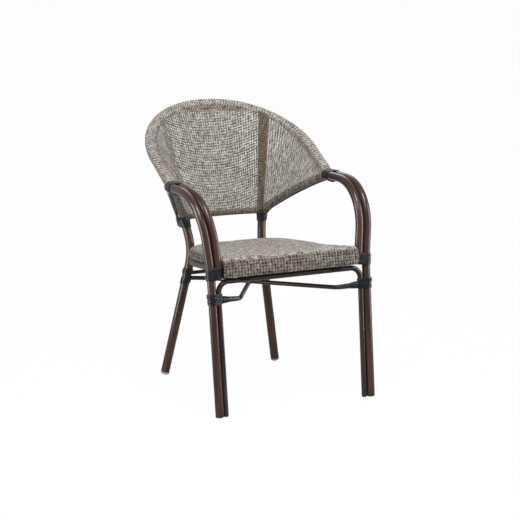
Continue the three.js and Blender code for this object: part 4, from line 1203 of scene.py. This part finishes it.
def write_drape(obj):
    """How the cloth lies: its place on the top, how far it faces sideways, and its place round the edge."""
    points = drawn(coordinates(obj))
    drop = seat_level(points[:, Y]) + BASE_THICKNESS + CUSHION_THICKNESS - points[:, Z]
    drop = np.clip(drop, 0, None)
    write_vectors(obj, "drape", np.column_stack([points[:, :Z] * MM, np.clip((drop - 2) / 5, 0, 1)]))
    outline = seat_outline(5)
    outline = np.vstack([outline, outline[:1]])
    level = np.column_stack([outline, np.zeros(len(outline))])
    _, _, run = nearest_on_line(points * (1, 1, 0), level)
    write_vectors(obj, "wrap", np.column_stack([run * MM, drop * MM, 0 * drop]))


def build_cushion(sizes):
    bottom = BASE_THICKNESS + CLEARANCE
    thickness, crown = ((CUSHION_THICKNESS - 2.0, 2.5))
    top = bottom + thickness
    rings = rounded_edge(seat_outline(6), start=1.2, radius=12.0, low=bottom, high=top)
    rim = rings[-1][0]
    for share in (0.97, 0.93, 0.86, 0.75, 0.6, 0.45, 0.3, 0.15):
        rings.append((SEAT_MIDDLE + (rim - SEAT_MIDDLE) * share, top + crown * (1 - share**2)))
    pad = skinned("seat_cushion_pad", rings)
    select_only(pad, skirt_block(top - SKIRT_BELOW_TOP))
    bpy.ops.object.join()
    pad = bpy.context.object
    remesh = pad.modifiers.new("skin", "REMESH")
    remesh.mode = "VOXEL"
    remesh.voxel_size = 0.005
    smooth = pad.modifiers.new("ease", "SMOOTH")
    smooth.factor = 0.5
    smooth.iterations = 2
    apply_modifiers(pad)
    puffed(pad, sizes.cushion_swell * MM)
    set_coordinates(pad, clear_of_arms(coordinates(pad)))
    finer = pad.modifiers.new("finer", "SUBSURF")
    finer.levels = finer.render_levels = 1
    apply_modifiers(pad)
    write_drape(pad)
    select_only(pad)
    bpy.ops.object.shade_smooth()
    return pad


def build_seat_base():
    """A padded band round the board: rounded outside, open in the middle from below."""
    outline, hole = seat_outline(5), 24.3
    rings = [(inset(outline, hole), 0.6), (inset(outline, hole - 3), 0.0)]
    rings += rounded_edge(outline, start=5.0, radius=9.0, low=0, high=BASE_THICKNESS)
    rings += [(inset(outline, hole), BASE_THICKNESS)]
    obj = skinned("seat_base_band", rings, closed=True)
    points = clear_of_arms(coordinates(obj))
    behind_skirt = placed(on_seat((0, SEAT_FRONT + SKIRT_DEPTH + 0.9, 0)))[Y]
    points[:, Y] = np.maximum(points[:, Y], behind_skirt)
    set_coordinates(obj, points)
    return tidied(obj, smooth_angle=45)


# Operators


class ArmchairOperator:
    bl_options = {"REGISTER", "UNDO"}

    def execute(self, context):
        chosen = context.scene.armchair_sizes
        names = ArmchairSizes.__annotations__
        self.build(SimpleNamespace(**{name: round(getattr(chosen, name) / MM, 4) for name in names}))
        return {"FINISHED"}


class ARMCHAIR_OT_arm_tubes(ArmchairOperator, bpy.types.Operator):
    """Bends the two tubes of each front leg and arm"""

    bl_idname = "armchair.arm_tubes"
    bl_label = "Legs and arms"

    def build(self, sizes):
        brown = finish_called("brown_tube")
        for line, bottom, piece, node in (
            (ARM_LINE, GLIDE_HEIGHT, "front_leg_and_arm", "front_leg_tube"),
            (INNER_ARM_LINE, INNER_ARM_END, "inner_arm", "inner_arm_tube"),
        ):
            upper = between_levels(line, Y, 0, ARM_END)
            upper = np.vstack([at_level(line, Z, bottom), upper[upper[:, Z] > bottom + 0.5]])
            finished_pair(swept(node, upper, sizes.arm_tube), piece, brown, node)


class ARMCHAIR_OT_rear_legs(ArmchairOperator, bpy.types.Operator):
    """Bends each rear leg and the upright above it from one tube"""

    bl_idname = "armchair.rear_legs"
    bl_label = "Rear legs"

    def build(self, sizes):
        line = between_levels(REAR_LINE, Z, REAR_GLIDE_HEIGHT, REAR_LINE[-1, Z])
        leg = swept("rear_leg", line, sizes.rear_tube)
        finished_pair(leg, "rear_leg", finish_called("brown_tube"), "rear_leg_tube")


class ARMCHAIR_OT_back_frame(ArmchairOperator, bpy.types.Operator):
    """Bends the hoop, rail and wings of the back, and lays a stay along each wing"""

    bl_idname = "armchair.back_frame"
    bl_label = "Back frame"

    def build(self, sizes):
        brown, tail = finish_called("brown_tube"), 5.2
        first = RIM_END - unit(RIM_LINE[1] - RIM_END) * tail
        hoop = np.vstack([first, RIM_LINE, flipped(first)])
        finished(swept("back_hoop", hoop, sizes.rear_tube), brown, ["back_rim_tube"])
        finished(swept("back_rail", RAIL_LINE, sizes.lower_tube), brown, ["back_rail_tube"])
        wing = swept("wing", WING_LINE[1:], sizes.lower_tube)
        finished_pair(wing, "wing", brown, "wing_tube")
        finished_pair(self.stay(sizes), "wing_stay", finish_called("stay"), "wing_stay")

    def stay(self, sizes):
        """Beside the cloth down the wing, a little below its outer side, and then down the rear tube."""
        top, bottom, wingness = (values[2:WING_STATIONS] for values in cover_stations())
        along, inward = across_cloth(unit(top - bottom), lower_tangent(bottom))
        turn, gap, front_gap, upright_gap, tail = math.radians(10), 0.6, 1.1, 34, 20
        reach = lower_diameter(sizes, wingness) / 2 + COVER_ROOM + sizes.fabric + gap + STAY_DIAMETER / 2
        line = bottom - (inward * math.cos(turn) + along * math.sin(turn)) * reach[:, None]
        clear = np.linalg.norm(line - UPRIGHT_FOOT, axis=1) > upright_gap
        line = line[(line[:, Y] > COVER_FRONT + front_gap) & clear]
        levels = (STAY_TAIL_END + tail, STAY_TAIL_END)
        knee, end = (np.append(stay_tail(sizes, level), level) for level in levels)
        line = np.vstack([line, bow(line[-1], knee, end, 14)[1:]])
        return swept("stay", line, STAY_DIAMETER, sides=20)


class ARMCHAIR_OT_underframe(ArmchairOperator, bpy.types.Operator):
    """Bends the front arch, the crossed braces, the stretcher and the seat rail"""

    bl_idname = "armchair.underframe"
    bl_label = "Underframe"

    def build(self, sizes):
        dark = finish_called("dark_tube")
        foot = at_level(ARCH_LEG, Z, GLIDE_HEIGHT)
        arch = swept("front_arch", np.vstack([foot, ARCH_LINE[1:-1], flipped(foot)]), sizes.arch_tube)
        finished(arch, dark, ["front_arch_tube"])
        through = swept("brace_through", BRACE_LINE, sizes.brace_tube, swelling=self.flare(BRACE_LINE))
        finished(through, dark, ["cross_brace_through"])
        self.brace_halves(sizes, dark)
        bar_end = at_level(REAR_LEG, Z, STRETCHER_HEIGHT)
        bar = swept("rear_stretcher_bar", [flipped(bar_end), bar_end], STRETCHER_DIAMETER)
        finished(bar, dark, ["rear_stretcher"])
        rail_height = seat_level(SEAT_RAIL_SETBACK) - SEAT_RAIL_DROP
        rail = arched(at_level(REAR_LEG, Z, rail_height), (100, SEAT_RAIL_SETBACK, rail_height), 30)
        finished(swept("seat_rail", rail, SEAT_RAIL_DIAMETER), dark, ["rear_seat_rail"])

    def flare(self, line):
        """A brace is thicker where it leaves its collar."""
        wide_to, taper_to = 30, 78
        return 0.95 + 0.25 * np.clip((taper_to - lengths_along(line)) / (taper_to - wide_to), 0, 1)

    def brace_halves(self, sizes, dark):
        """The second brace stops at the first on both sides, each half with a weld round its end."""
        line = flipped(BRACE_LINE)
        crossing = next(i for i in range(len(line) - 1) if line[i, X] < 0 <= line[i + 1, X])
        step = line[crossing + 1] - line[crossing]
        middle = line[crossing] - line[crossing, X] / step[X] * step
        way = unit(step)
        other = unit(BRACE_LINE[crossing + 1] - BRACE_LINE[crossing])
        reach = sizes.brace_tube / 2 / math.sqrt(max(1e-6, 1 - float(way @ other) ** 2))
        steps = np.array([0, reach, reach + 1.2, reach + 3, reach + 5, reach + 7])
        weld = 0.95 * np.array([1.0, 1.30, 1.28, 1.12, 1.02, 1.0])
        flare = self.flare(line)
        for piece, sign, rest in (
            ("front_half", -1, slice(crossing, None, -1)),
            ("rear_half", 1, slice(crossing + 1, None)),
        ):
            points = np.vstack([middle + sign * way * steps[:, None], line[rest]])
            widths = np.concatenate([weld, flare[rest]])
            half = swept(f"brace_{piece}_tube", points, sizes.brace_tube, swelling=widths)
            finished(half, dark, [f"cross_brace_{piece}"])


class ARMCHAIR_OT_back_cover(ArmchairOperator, bpy.types.Operator):
    """Draws the mesh bag over the hoop, rail and wings"""

    bl_idname = "armchair.back_cover"
    bl_label = "Back cover"

    def build(self, sizes):
        cover = build_back_cover(sizes)
        finished(cover, finish_called("back_mesh"), ["back_cover"])


class ARMCHAIR_OT_seat_cushion(ArmchairOperator, bpy.types.Operator):
    """Pads and covers the seat, with its skirt over the front edge"""

    bl_idname = "armchair.seat_cushion"
    bl_label = "Seat cushion"

    def build(self, sizes):
        cushion = build_cushion(sizes)
        cushion.name = cushion.data.name = "seat_cushion_covered"
        finished(cushion, finish_called("seat_fabric"), ["seat_cushion"])


class ARMCHAIR_OT_seat_base(ArmchairOperator, bpy.types.Operator):
    """Rolls the padded band under the cushion, and finishes the board and the saddles"""

    bl_idname = "armchair.seat_base"
    bl_label = "Seat base"

    def build(self, sizes):
        base = build_seat_base()
        finished(base, finish_called("seat_band"), ["seat_base"])
        saddles = [f"{side}_{end}_saddle" for end in ("front", "rear") for side in ("right", "left")]
        for name in ("seat_board", *saddles):
            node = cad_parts[name]
            node.data.materials.clear()
            node.data.materials.append(finish_called("board" if name == "seat_board" else "rubber"))


class ARMCHAIR_OT_feet(ArmchairOperator, bpy.types.Operator):
    """Turns the glides under the legs"""

    bl_idname = "armchair.feet"
    bl_label = "Feet"

    def build(self, sizes):
        for node, foot, towards, radius, height, slot in (
            ("front_foot", FRONT_FOOT, FRONT_KNEE, sizes.arm_tube / 2, GLIDE_HEIGHT, "dark_glide"),
            ("arch_foot", ARCH_FOOT, ARCH_CORNER, sizes.arch_tube / 2, GLIDE_HEIGHT, "dark_glide"),
            ("rear_foot", REAR_FOOT, REAR_KNEE, sizes.rear_tube / 2, REAR_GLIDE_HEIGHT, "pale_glide"),
        ):
            glide = turned(node, self.profile(radius, height), foot, towards)
            points = coordinates(glide)
            points[:, Z] = np.maximum(points[:, Z], 0)
            set_coordinates(glide, points)
            finished_pair(glide, f"{node}_glide", finish_called(slot), node)

    def profile(self, radius, height):
        """A domed sole, a collar just short of the tube's end, and a stem up into the tube."""
        angles = np.linspace(0.35, math.pi / 2, 9)
        dome = [(radius * math.sin(a), height * 0.62 * (1 - math.cos(a))) for a in angles]
        stem_length = 12
        collar_top, stem_top, stem = height - CLEARANCE, height + stem_length, radius * 0.72
        sole = [(0, 0), (dome[0][0] * 0.9, 0), *dome]
        return sole + [(radius, collar_top), (stem, collar_top), (stem, stem_top), (0, stem_top)]


class ARMCHAIR_OT_bindings(ArmchairOperator, bpy.types.Operator):
    """Winds the strips over every joint of the frame"""

    bl_idname = "armchair.bindings"
    bl_label = "Bindings"

    def build(self, sizes):
        strip = finish_called("binding")
        for make, piece, node in (
            (arm_binding, "arm_winding", "arm_binding"),
            (upright_binding, "upright_winding", "upright_binding"),
            (seat_binding, "seat_winding", "seat_binding"),
            (brace_binding, "brace_winding", "brace_binding"),
            (rear_binding, "rear_winding", "rear_binding"),
            (brace_collar, "brace_collar", "brace_socket"),
        ):
            finished_pair(make(sizes), piece, strip, node)


class ARMCHAIR_OT_stage(ArmchairOperator, bpy.types.Operator):
    """Sets the floor, the lights and the camera"""

    bl_idname = "armchair.stage"
    bl_label = "Stage"

    def build(self, sizes):
        self.floor()
        self.world()
        for name, place, width, height, power in (
            ("key", (-0.7, -1.6, 3.3), 1.6, 1.6, 84),
            ("fill", (2.8, -2.6, 1.5), 1.4, 1.4, 12),
            ("side", (-3.0, -0.6, 1.6), 1.2, 1.2, 5),
            ("back", (1.4, 2.6, 2.4), 1.6, 1.6, 24),
            ("left_gloss", (-1.7, 0.1, 0.95), 0.55, 1.8, 75),
            ("right_gloss", (1.5, -1.05, 0.95), 0.55, 1.8, 50),
            ("top_gloss", (0.1, -1.05, 3.2), 0.8, 0.8, 62),
        ):
            self.lamp(name, place, width, height, power)
        self.camera()

    def lamp(self, name, place, width, height, power):
        """A tall lamp looks straight ahead, the others at the chair; a gloss lamp adds highlights alone."""
        light = bpy.data.lights.new(name, "AREA")
        light.shape = "RECTANGLE"
        light.size, light.size_y = width, height
        light.energy = power
        holder = bpy.data.objects.new(name, light)
        holder.location = place
        aim = Vector((0, 0, place[2] if height > width else 0.45))
        holder.rotation_euler = (aim - Vector(place)).to_track_quat("-Z", "Y").to_euler()
        holder.visible_camera = False
        holder.visible_diffuse = not name.endswith("gloss")
        bpy.context.collection.objects.link(holder)

    def seen_directly(self, board):
        """1 for what the camera sees, also in a reflection or through glass."""
        path = board.tree.nodes.new("ShaderNodeLightPath")
        kinds = ("Is Camera Ray", "Is Glossy Ray", "Is Transmission Ray")
        return board.most(*(Wire(board, path.outputs[kind]) for kind in kinds))

    def floor(self):
        bpy.ops.object.select_all(action="DESELECT")
        bpy.ops.mesh.primitive_plane_add(size=80, location=(0, 0, 0))
        floor = bpy.context.object
        floor.name = "studio_floor"
        finish = Finish("studio_floor_white")
        shade = finish.node("ShaderNodeBsdfDiffuse", inputs={"Color": (0.9, 0.9, 0.9, 1)})
        glow = finish.node("ShaderNodeEmission", inputs={"Color": (1, 1, 1, 1), "Strength": 1.0})
        factor = self.seen_directly(finish) * 0.97
        blend = finish.node("ShaderNodeMixShader", inputs={0: factor, 1: shade, 2: glow})
        floor.data.materials.append(finish.ended(blend))

    def world(self):
        bpy.context.scene.world = bpy.data.worlds.new("studio_white")
        sky = Finish("studio_white", bpy.context.scene.world)
        strength = 0.40 + 0.60 * self.seen_directly(sky)
        glow = sky.node("ShaderNodeBackground", inputs={"Color": (1, 1, 1, 1), "Strength": strength})
        sky.ended(glow, "ShaderNodeOutputWorld")

    def camera(self):
        lens = bpy.data.cameras.new("photo_camera")
        lens.lens = 125.84
        lens.sensor_width = 36
        lens.clip_end = 60
        camera = bpy.data.objects.new("photo_camera", lens)
        turn, rise = math.radians(-27.107), math.radians(11.528)
        away = Vector((math.sin(turn) * math.cos(rise), -math.cos(turn) * math.cos(rise), math.sin(rise)))
        camera.location = (-2.42975, -4.82317, 1.48347)
        camera.rotation_euler = (-away).to_track_quat("-Z", "Y").to_euler()
        bpy.context.collection.objects.link(camera)
        bpy.context.scene.camera = camera
        bpy.context.scene.view_settings.view_transform = "Standard"


STEPS = (
    ARMCHAIR_OT_arm_tubes,
    ARMCHAIR_OT_rear_legs,
    ARMCHAIR_OT_back_frame,
    ARMCHAIR_OT_underframe,
    ARMCHAIR_OT_back_cover,
    ARMCHAIR_OT_seat_cushion,
    ARMCHAIR_OT_seat_base,
    ARMCHAIR_OT_feet,
    ARMCHAIR_OT_bindings,
    ARMCHAIR_OT_stage,
)


class ARMCHAIR_PT_steps(bpy.types.Panel):
    """Lists the sizes, the colours and the steps"""

    bl_label = "Armchair"
    bl_idname = "ARMCHAIR_PT_steps"
    bl_space_type = "VIEW_3D"
    bl_region_type = "UI"
    bl_category = "Armchair"

    def draw(self, context):
        for group in (context.scene.armchair_sizes, context.scene.armchair_colours):
            for name in group.__annotations__:
                self.layout.prop(group, name)
        for step in STEPS:
            self.layout.operator(step.bl_idname)


CLASSES = (ArmchairSizes, ArmchairColours, *STEPS, ARMCHAIR_PT_steps)


def register():
    for cls in CLASSES:
        bpy.utils.register_class(cls)
    bpy.types.Scene.armchair_sizes = bpy.props.PointerProperty(type=ArmchairSizes)
    bpy.types.Scene.armchair_colours = bpy.props.PointerProperty(type=ArmchairColours)


def unregister():
    del bpy.types.Scene.armchair_colours
    del bpy.types.Scene.armchair_sizes
    for cls in reversed(CLASSES):
        bpy.utils.unregister_class(cls)


def main():
    register()
    for step in STEPS:
        group, name = step.bl_idname.split(".")
        getattr(getattr(bpy.ops, group), name)()


if __name__ == "__main__":
    main()
